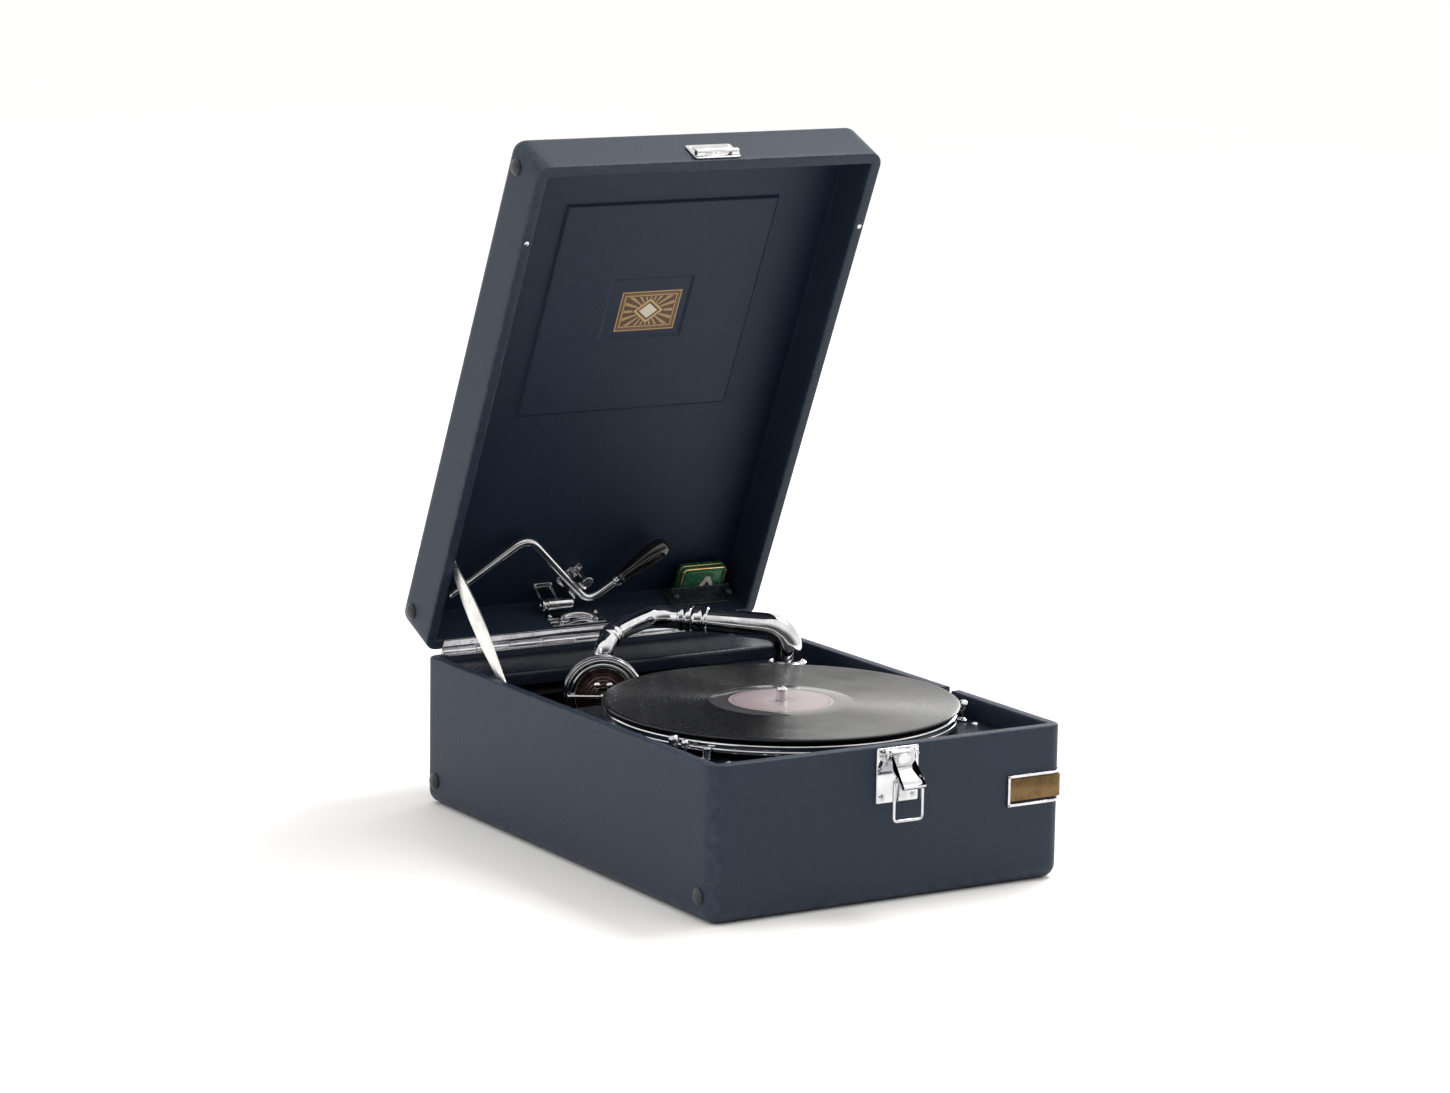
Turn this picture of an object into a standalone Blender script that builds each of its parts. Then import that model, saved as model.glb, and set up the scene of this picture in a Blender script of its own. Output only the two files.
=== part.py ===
"""Suitcase gramophone with a clockwork motor, lid standing open, in metres with +Z up.

The case stands on the XY plane. X runs across the case, Y from the front (latch) to the rear (hinge).
Pieces of the lid are drawn with the lid shut, then turned open about the hinge line.
"""

import math

import bmesh
import bpy
from mathutils import Matrix, Vector

MM = 0.001
GAP = 0.3 * MM  # clearance between pieces that touch

# ---- case ----
CASE_W, CASE_D = 286 * MM, 410 * MM
BASE_H, LID_H = 110 * MM, 46.5 * MM
WALL, FLOOR_T, LID_TOP_T = 8.5 * MM, 6 * MM, 9.5 * MM
CORNER_R, EDGE_R = 10.5 * MM, 10 * MM
INNER_R = 0.8 * MM
RIM_GAP = 0.5 * MM
LID_OPEN = math.radians(65.5)
HINGE_Y, HINGE_Z = CASE_D / 2 + 2.6 * MM, BASE_H + RIM_GAP / 2
KNUCKLE_R, LEAF_T, PIN_R = 2.3 * MM, 0.8 * MM, 1.0 * MM
HINGE_LEN, KNUCKLES = 256 * MM, 9
IN_X, IN_Y = CASE_W / 2 - WALL, CASE_D / 2 - WALL

# ---- deck ----
BOARD_T, BOARD_TOP = 5 * MM, 95 * MM
BOARD_BACK = 69 * MM  # the mouth of the horn opens behind this line
MOUTH_BACK = 140 * MM
TAB_X = 62 * MM  # the board reaches back past the mouth on the right of this line
RAIL_TOP = 105.5 * MM
BAY_X0, BAY_X1, BAY_Y = -104 * MM, -16 * MM, 55 * MM  # a bay in the board that the needle lifts through

# ---- turntable and record ----
SPINDLE_X, SPINDLE_Y = 4 * MM, -56 * MM
SPINDLE_R, SPINDLE_TOP = 3.6 * MM, 122.5 * MM
RECORD_R, RECORD_T = 127 * MM, 2.1 * MM
PLATTER_R, PLATTER_TOP, PLATTER_RIM, PLATTER_T = 125.5 * MM, 108 * MM, 8 * MM, 1.6 * MM
MAT_R, MAT_T = 121 * MM, 1.3 * MM

# ---- motor ----
PLATE_T, TOP_PLATE_Z, BOTTOM_PLATE_Z = 2 * MM, 81 * MM, 26 * MM
BARREL_R, BARREL_Z0, BARREL_Z1 = 31 * MM, 34 * MM, 55 * MM
BARREL_WALL = 1.6 * MM
GEAR_M = 1.0 * MM  # tooth size: pitch diameter over the number of teeth
BARREL_TEETH, MID_PINION_TEETH, MID_TEETH, SPINDLE_TEETH = 72, 10, 48, 12
WORM_WHEEL_TEETH, WORM_WHEEL_Z = 26, 47 * MM
WORM_R = 3.6 * MM
WORM_PITCH = math.pi * GEAR_M
GEAR_T = 3.4 * MM
WIND_Z = 73 * MM
CROWN_R, CROWN_TOP = 13 * MM, 66 * MM
WIND_R = 3.5 * MM

# ---- tone arm ----
ARM_X, ARM_Y = 94 * MM, 78 * MM
ARM_R, ARM_END_R, ARM_WALL = 11 * MM, 8.5 * MM, 1.5 * MM
ARM_Z = 131.5 * MM
ARM_JOINT = Vector((41, 127, 135)) * MM
NECK_END_R = 6.3 * MM
BOX_AT = Vector((-56, 92, 93)) * MM
BOX_FACES = Vector((-0.479, -0.878, 0)).normalized()
BOX_R = 29.5 * MM

# ---- latch, handle, tray ----
LATCH_X = 3.4 * MM
HANDLE_SPAN, HANDLE_Z, HANDLE_OUT = 116 * MM, 80 * MM, 6 * MM
TRAY_X, TRAY_Y, TRAY_R = CASE_W / 2 - 8 * MM, -CASE_D / 2 + 7.5 * MM, 38 * MM
TRAY_Z0, TRAY_H, TRAY_WALL = 59 * MM, 16 * MM, 1.4 * MM
STUD_R, STUD_H, STUD_Y, STUD_Z = 6 * MM, 3 * MM, 189 * MM, 18 * MM

# ---- crank, stowed in the lid ----
CRANK_R, CRANK_BEND, CRANK_DEPTH = 3.4 * MM, 11 * MM, 22.5 * MM
GRIP_R = 8.2 * MM

SPINDLE = Vector((SPINDLE_X, SPINDLE_Y, 0))
MID_AT = SPINDLE + Vector((math.cos(math.radians(-70)), math.sin(math.radians(-70)), 0)) * (
    GEAR_M * (MID_TEETH + SPINDLE_TEETH) / 2)
BARREL_AT = MID_AT + Vector((math.cos(math.radians(190)), math.sin(math.radians(190)), 0)) * (
    GEAR_M * (BARREL_TEETH + MID_PINION_TEETH) / 2)
GOVERNOR_Y = SPINDLE_Y + GEAR_M * WORM_WHEEL_TEETH / 2 + WORM_R + GAP
HINGE = Vector((0, HINGE_Y, HINGE_Z))


# ---------------------------------------------------------------- scene and materials
def clear_scene():
    for old in list(bpy.data.objects):
        bpy.data.objects.remove(old)


def material(name, colour, roughness, metallic=0.0):
    made = bpy.data.materials.new(name)
    made.use_nodes = True
    shader = made.node_tree.nodes["Principled BSDF"]
    shader.inputs["Base Color"].default_value = (*colour, 1)
    shader.inputs["Roughness"].default_value = roughness
    shader.inputs["Metallic"].default_value = metallic
    return made


def make_materials():
    return {
        "cloth": material("navy_leathercloth", (0.022, 0.035, 0.062), 0.55),
        "deck": material("navy_deck", (0.02, 0.03, 0.05), 0.45),
        "chrome": material("chrome_plate", (0.78, 0.78, 0.77), 0.12, 1.0),
        "steel": material("motor_steel", (0.42, 0.42, 0.41), 0.35, 1.0),
        "brass": material("gear_brass", (0.62, 0.45, 0.18), 0.3, 1.0),
        "shellac": material("black_shellac", (0.012, 0.012, 0.013), 0.2),
        "felt": material("navy_felt", (0.03, 0.04, 0.07), 0.95),
        "grip": material("black_grip", (0.01, 0.01, 0.01), 0.18),
        "stud": material("grey_stud", (0.11, 0.12, 0.13), 0.6),
        "horn": material("black_horn", (0.01, 0.01, 0.012), 0.5),
        "tray": material("bronze_tray", (0.28, 0.18, 0.08), 0.45, 1.0),
        "tin": material("green_tin", (0.05, 0.2, 0.11), 0.4, 0.6),
        "diaphragm": material("dark_diaphragm", (0.05, 0.045, 0.045), 0.35, 0.8),
    }


# ---------------------------------------------------------------- mesh helpers
def finish(name, bm, finish_name, pivot=None, parent=None, smooth=True):
    """Closes up a bmesh as an object whose origin is pivot, in the lid's own frame if it has a parent."""
    bmesh.ops.remove_doubles(bm, verts=bm.verts, dist=1e-6)
    bmesh.ops.recalc_face_normals(bm, faces=bm.faces)
    at = Vector(pivot) if pivot is not None else Vector((0, 0, 0))
    bmesh.ops.translate(bm, verts=bm.verts, vec=-at)
    mesh = bpy.data.meshes.new(name)
    bm.to_mesh(mesh)
    bm.free()
    if smooth:
        mesh.shade_smooth()
        mesh.set_sharp_from_angle(angle=math.radians(35))
    if finish_name:
        mesh.materials.append(MATERIALS[finish_name])
    made = bpy.data.objects.new(name, mesh)
    bpy.context.scene.collection.objects.link(made)
    made.location = at
    if parent is not None:
        made.location = at - HINGE
        made.parent = parent
    return made


def loft(bm, rings, closed=False):
    """Skins rings that have the same number of points; the ends are capped unless the rings form a loop."""
    rows = [[bm.verts.new(p) for p in ring] for ring in rings]
    pairs = list(zip(rows, rows[1:])) + ([(rows[-1], rows[0])] if closed else [])
    for low, high in pairs:
        for i in range(len(low)):
            j = (i + 1) % len(low)
            bm.faces.new((low[i], low[j], high[j], high[i]))
    if not closed:
        bm.faces.new(rows[0][::-1])
        bm.faces.new(rows[-1])
    return bm


def rounded_outline(half_x, half_y, radius, z, steps=4):
    points = []
    for turn, (sx, sy) in enumerate(((1, 1), (-1, 1), (-1, -1), (1, -1))):
        for k in range(steps + 1):
            a = math.radians(90 * turn + 90 * k / steps)
            points.append(Vector((sx * (half_x - radius) + radius * math.cos(a),
                                  sy * (half_y - radius) + radius * math.sin(a), z)))
    return points


def tub(height, bottom, flip):
    """The rings of an open box with rounded corners; flip turns it over, mouth down at z = 0."""
    sign = -1 if flip else 1
    base = height if flip else 0
    rings = []
    for k in range(5):
        a = math.radians(90 - 22.5 * k)
        inset = EDGE_R * (1 - math.cos(a))
        rings.append(rounded_outline(CASE_W / 2 - inset, CASE_D / 2 - inset,
                                     max(CORNER_R - inset, 0.6 * MM),
                                     base + sign * EDGE_R * (1 - math.sin(a))))
    rings.append(rounded_outline(CASE_W / 2, CASE_D / 2, CORNER_R, base + sign * height))
    rings.append(rounded_outline(IN_X, IN_Y, INNER_R, base + sign * height))
    rings.append(rounded_outline(IN_X, IN_Y, INNER_R, base + sign * bottom))
    return rings


def box(bm, low, high):
    low, high = Vector(low), Vector(high)
    made = bmesh.ops.create_cube(bm, size=1)["verts"]
    bmesh.ops.scale(bm, vec=high - low, verts=made)
    bmesh.ops.translate(bm, vec=(low + high) / 2, verts=made)
    return bm


def turned(bm, profile, segments, at=(0, 0, 0), axis=(0, 0, 1)):
    """Turns a closed outline of (radius, height) points about axis; a radius of 0 is a pole."""
    frame = Vector(axis).to_track_quat("Z", "Y").to_matrix()
    rows = []
    for radius, height in profile:
        if radius == 0:
            rows.append([bm.verts.new(Vector(at) + frame @ Vector((0, 0, height)))])
            continue
        rows.append([bm.verts.new(Vector(at) + frame @ Vector((
            radius * math.cos(2 * math.pi * k / segments),
            radius * math.sin(2 * math.pi * k / segments), height))) for k in range(segments)])
    ring = profile[0][0] != 0
    pairs = list(zip(rows, rows[1:])) + ([(rows[-1], rows[0])] if ring else [])
    for a, b in pairs:
        for k in range(segments):
            j = (k + 1) % segments
            corners = [a[k % len(a)], a[j % len(a)], b[j % len(b)], b[k % len(b)]]
            corners = [v for i, v in enumerate(corners) if v not in corners[:i]]
            if len(corners) > 2:
                bm.faces.new(corners)
    return bm


def rod(bm, start, end, radius, segments=16):
    axis = Vector(end) - Vector(start)
    return turned(bm, [(0, 0), (radius, 0), (radius, axis.length), (0, axis.length)],
                  segments, start, axis)


def ring_frames(path):
    """Points and side vectors along a path, turned as little as the path allows."""
    tangents = [(path[min(i + 1, len(path) - 1)] - path[max(i - 1, 0)]).normalized()
                for i in range(len(path))]
    side = tangents[0].orthogonal().normalized()
    frames = []
    for i, tangent in enumerate(tangents):
        if i:
            side = tangents[i - 1].rotation_difference(tangent) @ side
        side = (side - tangent * side.dot(tangent)).normalized()
        frames.append((side.copy(), tangent.cross(side)))
    return frames


def pipe_rings(path, radii, segments):
    rings = []
    for point, radius, (u, v) in zip(path, radii, ring_frames(path)):
        rings.append([point + (u * math.cos(2 * math.pi * k / segments)
                               + v * math.sin(2 * math.pi * k / segments)) * radius
                      for k in range(segments)])
    return rings


def pipe(bm, path, radii, segments, wall=None):
    """A round bar along a path or, given a wall, a tube that is open at both ends."""
    rings = pipe_rings(path, radii, segments)
    if wall is None:
        return loft(bm, rings)
    inner = pipe_rings(path, [r - wall for r in radii], segments)
    return loft(bm, rings + inner[::-1], closed=True)


def smooth_path(points, steps=4):
    """A Catmull-Rom curve through points."""
    ends = [2 * points[0] - points[1], *points, 2 * points[-1] - points[-2]]
    path = []
    for i in range(1, len(ends) - 2):
        a, b, c, d = ends[i - 1:i + 3]
        for k in range(steps):
            t = k / steps
            path.append(0.5 * (2 * b + (c - a) * t + (2 * a - 5 * b + 4 * c - d) * t * t
                               + (3 * b - a - 3 * c + d) * t ** 3))
    path.append(points[-1].copy())
    return path


def bent_path(points, radius, steps=5):
    """Straight runs joined by arcs of one radius."""
    path = [points[0]]
    for before, corner, after in zip(points, points[1:], points[2:]):
        u, v = (before - corner).normalized(), (after - corner).normalized()
        half = u.angle(v) / 2
        centre = corner + (u + v).normalized() * (radius / math.sin(half))
        start, end = corner + u * radius / math.tan(half), corner + v * radius / math.tan(half)
        sweep = (start - centre).rotation_difference(end - centre)
        for k in range(steps + 1):
            turn = sweep.copy()
            turn.angle = sweep.angle * k / steps
            path.append(centre + turn @ (start - centre))
    return path + [points[-1]]


def modify(target, operation, bm):
    """A Boolean with a helper that is left out of the build."""
    bmesh.ops.recalc_face_normals(bm, faces=bm.faces)
    mesh = bpy.data.meshes.new(target.name + "_tool")
    bm.to_mesh(mesh)
    bm.free()
    tool = bpy.data.objects.new(mesh.name, mesh)
    bpy.context.scene.collection.objects.link(tool)
    tool.location, tool.parent = target.location - target.location, target.parent
    if target.parent is not None:
        tool.location = -HINGE
    tool.hide_render = True
    tool.display_type = "WIRE"
    made = target.modifiers.new(tool.name, "BOOLEAN")
    made.operation = operation
    made.object = tool
    return target


def cut(target, bm):
    return modify(target, "DIFFERENCE", bm)


def add(target, bm):
    return modify(target, "UNION", bm)


def gear(bm, at, teeth, z0, z1, phase=0.0, twist=0.0):
    """A gear with slim teeth, which leaves the backlash of a clock train; twist is in radians from z0 to z1."""
    pitch = GEAR_M * teeth / 2
    root, tip = pitch - 1.0 * GEAR_M, pitch + 0.65 * GEAR_M
    step = 2 * math.pi / teeth
    rings = []
    for z, turn in ((z0, -twist / 2), (z1, twist / 2)):
        ring = []
        for k in range(teeth):
            for radius, share in ((root, -0.30), (tip, -0.12), (tip, 0.12), (root, 0.30)):
                a = phase + turn + (k + share) * step
                ring.append(Vector((at[0] + radius * math.cos(a), at[1] + radius * math.sin(a), z)))
        rings.append(ring)
    return loft(bm, rings)


def new():
    return bmesh.new()


# ---------------------------------------------------------------- the base of the case
def make_base():
    case = finish("base_case", loft(new(), tub(BASE_H, FLOOR_T, flip=False)), "cloth")
    leaf_room = HINGE_LEN / 2 + 0.5 * MM
    cut(case, box(new(), (-leaf_room, IN_Y - 0.4 * MM, BASE_H - LEAF_T - 0.2 * MM),
                  (leaf_room, CASE_D / 2 + MM, BASE_H + MM)))
    notch = 5.5 * MM
    cut(case, box(new(), (IN_X - MM, -78 * MM, BASE_H - notch), (CASE_W / 2 + MM, -64 * MM, BASE_H + MM)))
    cut(case, rod(new(), (IN_X - MM, BARREL_AT.y, WIND_Z), (CASE_W / 2 + MM, BARREL_AT.y, WIND_Z), 7 * MM, 20))
    room = TRAY_R + 0.8 * MM
    tray_hole = new()
    box(tray_hole, (TRAY_X - room, -CASE_D / 2 - MM, TRAY_Z0 - 0.5 * MM),
        (CASE_W / 2 + MM, TRAY_Y + room, TRAY_Z0 + TRAY_H + 0.5 * MM))
    cut(case, tray_hole)

    board = new()
    edge = IN_X - GAP
    outline = [(-edge, -IN_Y + GAP), (edge, -IN_Y + GAP), (edge, MOUTH_BACK - GAP),
               (TAB_X, MOUTH_BACK - GAP), (TAB_X, BOARD_BACK), (BAY_X1, BOARD_BACK), (BAY_X1, BAY_Y),
               (BAY_X0, BAY_Y), (BAY_X0, BOARD_BACK), (-edge, BOARD_BACK)]
    loft(board, [[Vector((x, y, z)) for x, y in outline] for z in (BOARD_TOP - BOARD_T, BOARD_TOP)])
    board = finish("motor_board", board, "deck", smooth=False)
    for x, y, radius in ((SPINDLE_X, SPINDLE_Y, SPINDLE_R + 1.4 * MM), (ARM_X, ARM_Y, ARM_R),
                         (REGULATOR_AT.x, REGULATOR_AT.y, POST_R + GAP),
                         (BRAKE_AT.x, BRAKE_AT.y, POST_R + GAP)):
        cut(board, rod(new(), (x, y, BOARD_TOP - BOARD_T - MM), (x, y, BOARD_TOP + MM), radius, 20))

    rail = [[Vector((x, y, z)) for y, z in (
        (MOUTH_BACK, BOARD_TOP + GAP), (MOUTH_BACK, RAIL_TOP - 2.5 * MM), (MOUTH_BACK + 0.7 * MM, RAIL_TOP - 0.7 * MM),
        (MOUTH_BACK + 2.5 * MM, RAIL_TOP), (IN_Y - GAP, RAIL_TOP), (IN_Y - GAP, BOARD_TOP + GAP))]
        for x in (-edge, edge)]
    finish("rear_deck_rail", loft(new(), rail), "deck", smooth=False)

    for name, y in (("base_side_stud_front", -STUD_Y), ("base_side_stud_rear", STUD_Y)):
        finish(name, stud(y, STUD_Z), "stud")


def stud(y, z):
    outline = [(0, 0), (STUD_R, 0)]
    for k in range(1, 4):
        a = math.radians(22.5 * k)
        outline.append((STUD_R * math.cos(a), STUD_H * math.sin(a)))
    outline.append((0, STUD_H))
    return turned(new(), outline, 16, (-CASE_W / 2 - GAP, y, z), (-1, 0, 0))


def make_horn():
    """A folded horn: a throat under the tone arm feeds a duct that widens to the mouth behind the deck."""
    wall, x0, x1 = 1.6 * MM, -IN_X + 6.5 * MM, 74 * MM
    sections = ((x1, 80, 106, 22, 48), (40 * MM, 70, 122, 18, 72), (0, 54, 160, 14, 88),
                (-60 * MM, 50, 184, 12, 89), (x0, 50, 190, 12, 89))

    def section(x, y_low, y_high, z_low, z_high, inset):
        cy, cz = (y_low + y_high) / 2 * MM, (z_low + z_high) / 2 * MM
        half_y, half_z = (y_high - y_low) / 2 * MM - inset, (z_high - z_low) / 2 * MM - inset
        return [Vector((x, cy + p.x, cz + p.y))
                for p in rounded_outline(half_y, half_z, 9 * MM, 0, steps=3)]
    duct = finish("horn", loft(new(), [section(*s, 0) for s in sections]), "horn")
    inner = [section(*s, wall) for s in sections]
    for p in inner[0]:
        p.x += MM
    for p in inner[-1]:
        p.x += wall
    cut(duct, loft(new(), inner))
    cut(duct, box(new(), (x0 + 4 * MM, BOARD_BACK - MM, 70 * MM), (40 * MM, MOUTH_BACK - 3 * MM, 95 * MM)))
    cut(duct, box(new(), (BAY_X0, BAY_Y, 70 * MM), (BAY_X1, BOARD_BACK, 95 * MM)))

    path = smooth_path([Vector(p) * MM for p in (
        (94, 78, 89.5), (94, 78, 78), (94, 80, 62), (92, 86, 46), (86, 91, 37), (75.6, 93, 35))], 2)
    radii = [9.5 * MM + 1.5 * MM * i / (len(path) - 1) for i in range(len(path))]
    finish("horn_throat", pipe(new(), path, radii, 16, wall), "horn")


# ---------------------------------------------------------------- hinge
def hinge_leaf(name, finish_name, first, z0, z1, parent):
    """A leaf with every other knuckle of the row, bored for the pin."""
    leaf = box(new(), (-HINGE_LEN / 2, IN_Y, z0), (HINGE_LEN / 2, HINGE_Y - KNUCKLE_R - 0.2 * MM, z1))
    made = finish(name, leaf, finish_name, HINGE, parent)
    pitch = HINGE_LEN / KNUCKLES
    for k in range(first, KNUCKLES, 2):
        start = -HINGE_LEN / 2 + k * pitch + GAP / 2
        lug = box(new(), (start, HINGE_Y - KNUCKLE_R - MM, z0), (start + pitch - GAP, HINGE_Y, z1))
        add(made, lug)
        add(made, rod(new(), (start, HINGE_Y, HINGE_Z), (start + pitch - GAP, HINGE_Y, HINGE_Z), KNUCKLE_R, 12))
    cut(made, rod(new(), (-HINGE_LEN, HINGE_Y, HINGE_Z), (HINGE_LEN, HINGE_Y, HINGE_Z), PIN_R + 0.2 * MM, 10))
    return made


def make_hinge(lid):
    below, above = BASE_H - LEAF_T, BASE_H + RIM_GAP
    hinge_leaf("hinge_base_leaf", "chrome", 0, below, BASE_H, None)
    hinge_leaf("hinge_lid_leaf", "chrome", 1, above, above + LEAF_T, lid)
    finish("hinge_pin", rod(new(), (-HINGE_LEN / 2, HINGE_Y, HINGE_Z), (HINGE_LEN / 2, HINGE_Y, HINGE_Z),
                            PIN_R, 10), "chrome")


# ---------------------------------------------------------------- turntable
POST_R, BALL_R = 2.0 * MM, 3.9 * MM
REGULATOR_AT = Vector((124.5, -108, 106.5)) * MM
BRAKE_AT = Vector((-117.5, -111.5, 107)) * MM


def make_turntable():
    centre = (SPINDLE_X, SPINDLE_Y, 0)
    low, top = PLATTER_TOP - PLATTER_RIM, PLATTER_TOP
    hub, bore = 9 * MM, SPINDLE_R + GAP
    rim = PLATTER_R - PLATTER_T
    finish("turntable", turned(new(), [
        (bore, low + MM), (hub, low + MM), (hub, top - PLATTER_T), (rim - 1.5 * MM, top - PLATTER_T),
        (rim, top - PLATTER_T - 1.5 * MM), (rim, low), (PLATTER_R, low), (PLATTER_R, top - 1.5 * MM),
        (PLATTER_R - 1.5 * MM, top), (bore, top)], 64, centre), "chrome", SPINDLE)
    mat_low = top + GAP
    finish("turntable_mat", turned(new(), [
        (bore, mat_low), (MAT_R, mat_low), (MAT_R, mat_low + MAT_T), (bore, mat_low + MAT_T)],
        48, centre), "felt", SPINDLE)
    low = mat_low + MAT_T + GAP
    high = low + RECORD_T
    finish("record", turned(new(), [
        (SPINDLE_R + 0.2 * MM, low), (RECORD_R - MM, low), (RECORD_R, low + 0.6 * MM), (RECORD_R, high - 0.6 * MM),
        (RECORD_R - MM, high), (SPINDLE_R + 0.2 * MM, high)], 72, centre), "shellac", SPINDLE)

    shaft = turned(new(), [
        (0, BOTTOM_PLATE_Z + 0.5 * MM), (2 * MM, BOTTOM_PLATE_Z + 0.5 * MM), (2 * MM, 30 * MM), (4 * MM, 30 * MM),
        (4 * MM, 97 * MM), (SPINDLE_R, 97 * MM), (SPINDLE_R, SPINDLE_TOP - 2.4 * MM),
        (SPINDLE_R * 0.7, SPINDLE_TOP - 0.7 * MM), (0, SPINDLE_TOP)], 20, centre)
    shaft = finish("spindle", shaft, "steel", SPINDLE)
    add(shaft, gear(new(), SPINDLE, SPINDLE_TEETH, 60 * MM, 66.4 * MM, math.radians(-70 + 15)))
    half, slope = 3 * MM, WORM_PITCH / (2 * math.pi * WORM_R)
    add(shaft, gear(new(), SPINDLE, WORM_WHEEL_TEETH, WORM_WHEEL_Z - half, WORM_WHEEL_Z + half,
                    twist=slope * 2 * half / (GEAR_M * WORM_WHEEL_TEETH / 2)))


# ---------------------------------------------------------------- motor
def motor_plate(name, z):
    outline = [(-68, -134), (62, -134), (78, -118), (78, -22), (62, -6), (-52, -6), (-68, -22)]
    return finish(name, loft(new(), [[Vector((x * MM, y * MM, h)) for x, y in outline]
                                     for h in (z, z + PLATE_T)]), "steel", smooth=False)


def make_motor():
    top = motor_plate("motor_top_plate", TOP_PLATE_Z)
    bottom = motor_plate("motor_bottom_plate", BOTTOM_PLATE_Z)
    for x, y in ((-60, -20), (70, -24), (70, -116), (-60, -126)):
        x, y = x * MM, y * MM
        add(top, rod(new(), (x, y, TOP_PLATE_Z + MM), (x, y, BOARD_TOP - BOARD_T - GAP), 4 * MM, 10))
        add(bottom, rod(new(), (x, y, BOTTOM_PLATE_Z + MM), (x, y, TOP_PLATE_Z - GAP), 3 * MM, 10))
        add(bottom, rod(new(), (x, y, FLOOR_T + GAP), (x, y, BOTTOM_PLATE_Z + MM), 5 * MM, 10))
    for at, radius in ((SPINDLE, 4.3 * MM), (BARREL_AT, 3.3 * MM), (MID_AT, 2.3 * MM)):
        cut(top, rod(new(), (at.x, at.y, TOP_PLATE_Z - MM), (at.x, at.y, TOP_PLATE_Z + 2 * PLATE_T), radius, 16))
        cut(bottom, rod(new(), (at.x, at.y, BOTTOM_PLATE_Z - MM),
                        (at.x, at.y, BOTTOM_PLATE_Z + 2 * PLATE_T), min(radius, 2.3 * MM), 16))
    for x in (-30, 64):
        add(bottom, box(new(), ((x - 2) * MM, GOVERNOR_Y - 4 * MM, BOTTOM_PLATE_Z + MM),
                        ((x + 2) * MM, GOVERNOR_Y + 4 * MM, WORM_WHEEL_Z + 5 * MM)))
    cut(bottom, rod(new(), (-34 * MM, GOVERNOR_Y, WORM_WHEEL_Z), (67 * MM, GOVERNOR_Y, WORM_WHEEL_Z), 2.1 * MM, 12))

    make_barrel()
    arbor = turned(new(), [(0, BOTTOM_PLATE_Z), (2 * MM, BOTTOM_PLATE_Z), (2 * MM, TOP_PLATE_Z + PLATE_T),
                           (0, TOP_PLATE_Z + PLATE_T)], 12, MID_AT)
    wheel = finish("intermediate_gear", arbor, "brass", MID_AT)
    add(wheel, gear(new(), MID_AT, MID_PINION_TEETH, 53.6 * MM, 61 * MM, math.radians(190 - 180 + 18)))
    add(wheel, gear(new(), MID_AT, MID_TEETH, 60.6 * MM, 60.6 * MM + GEAR_T, math.radians(110)))
    make_governor()


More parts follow.
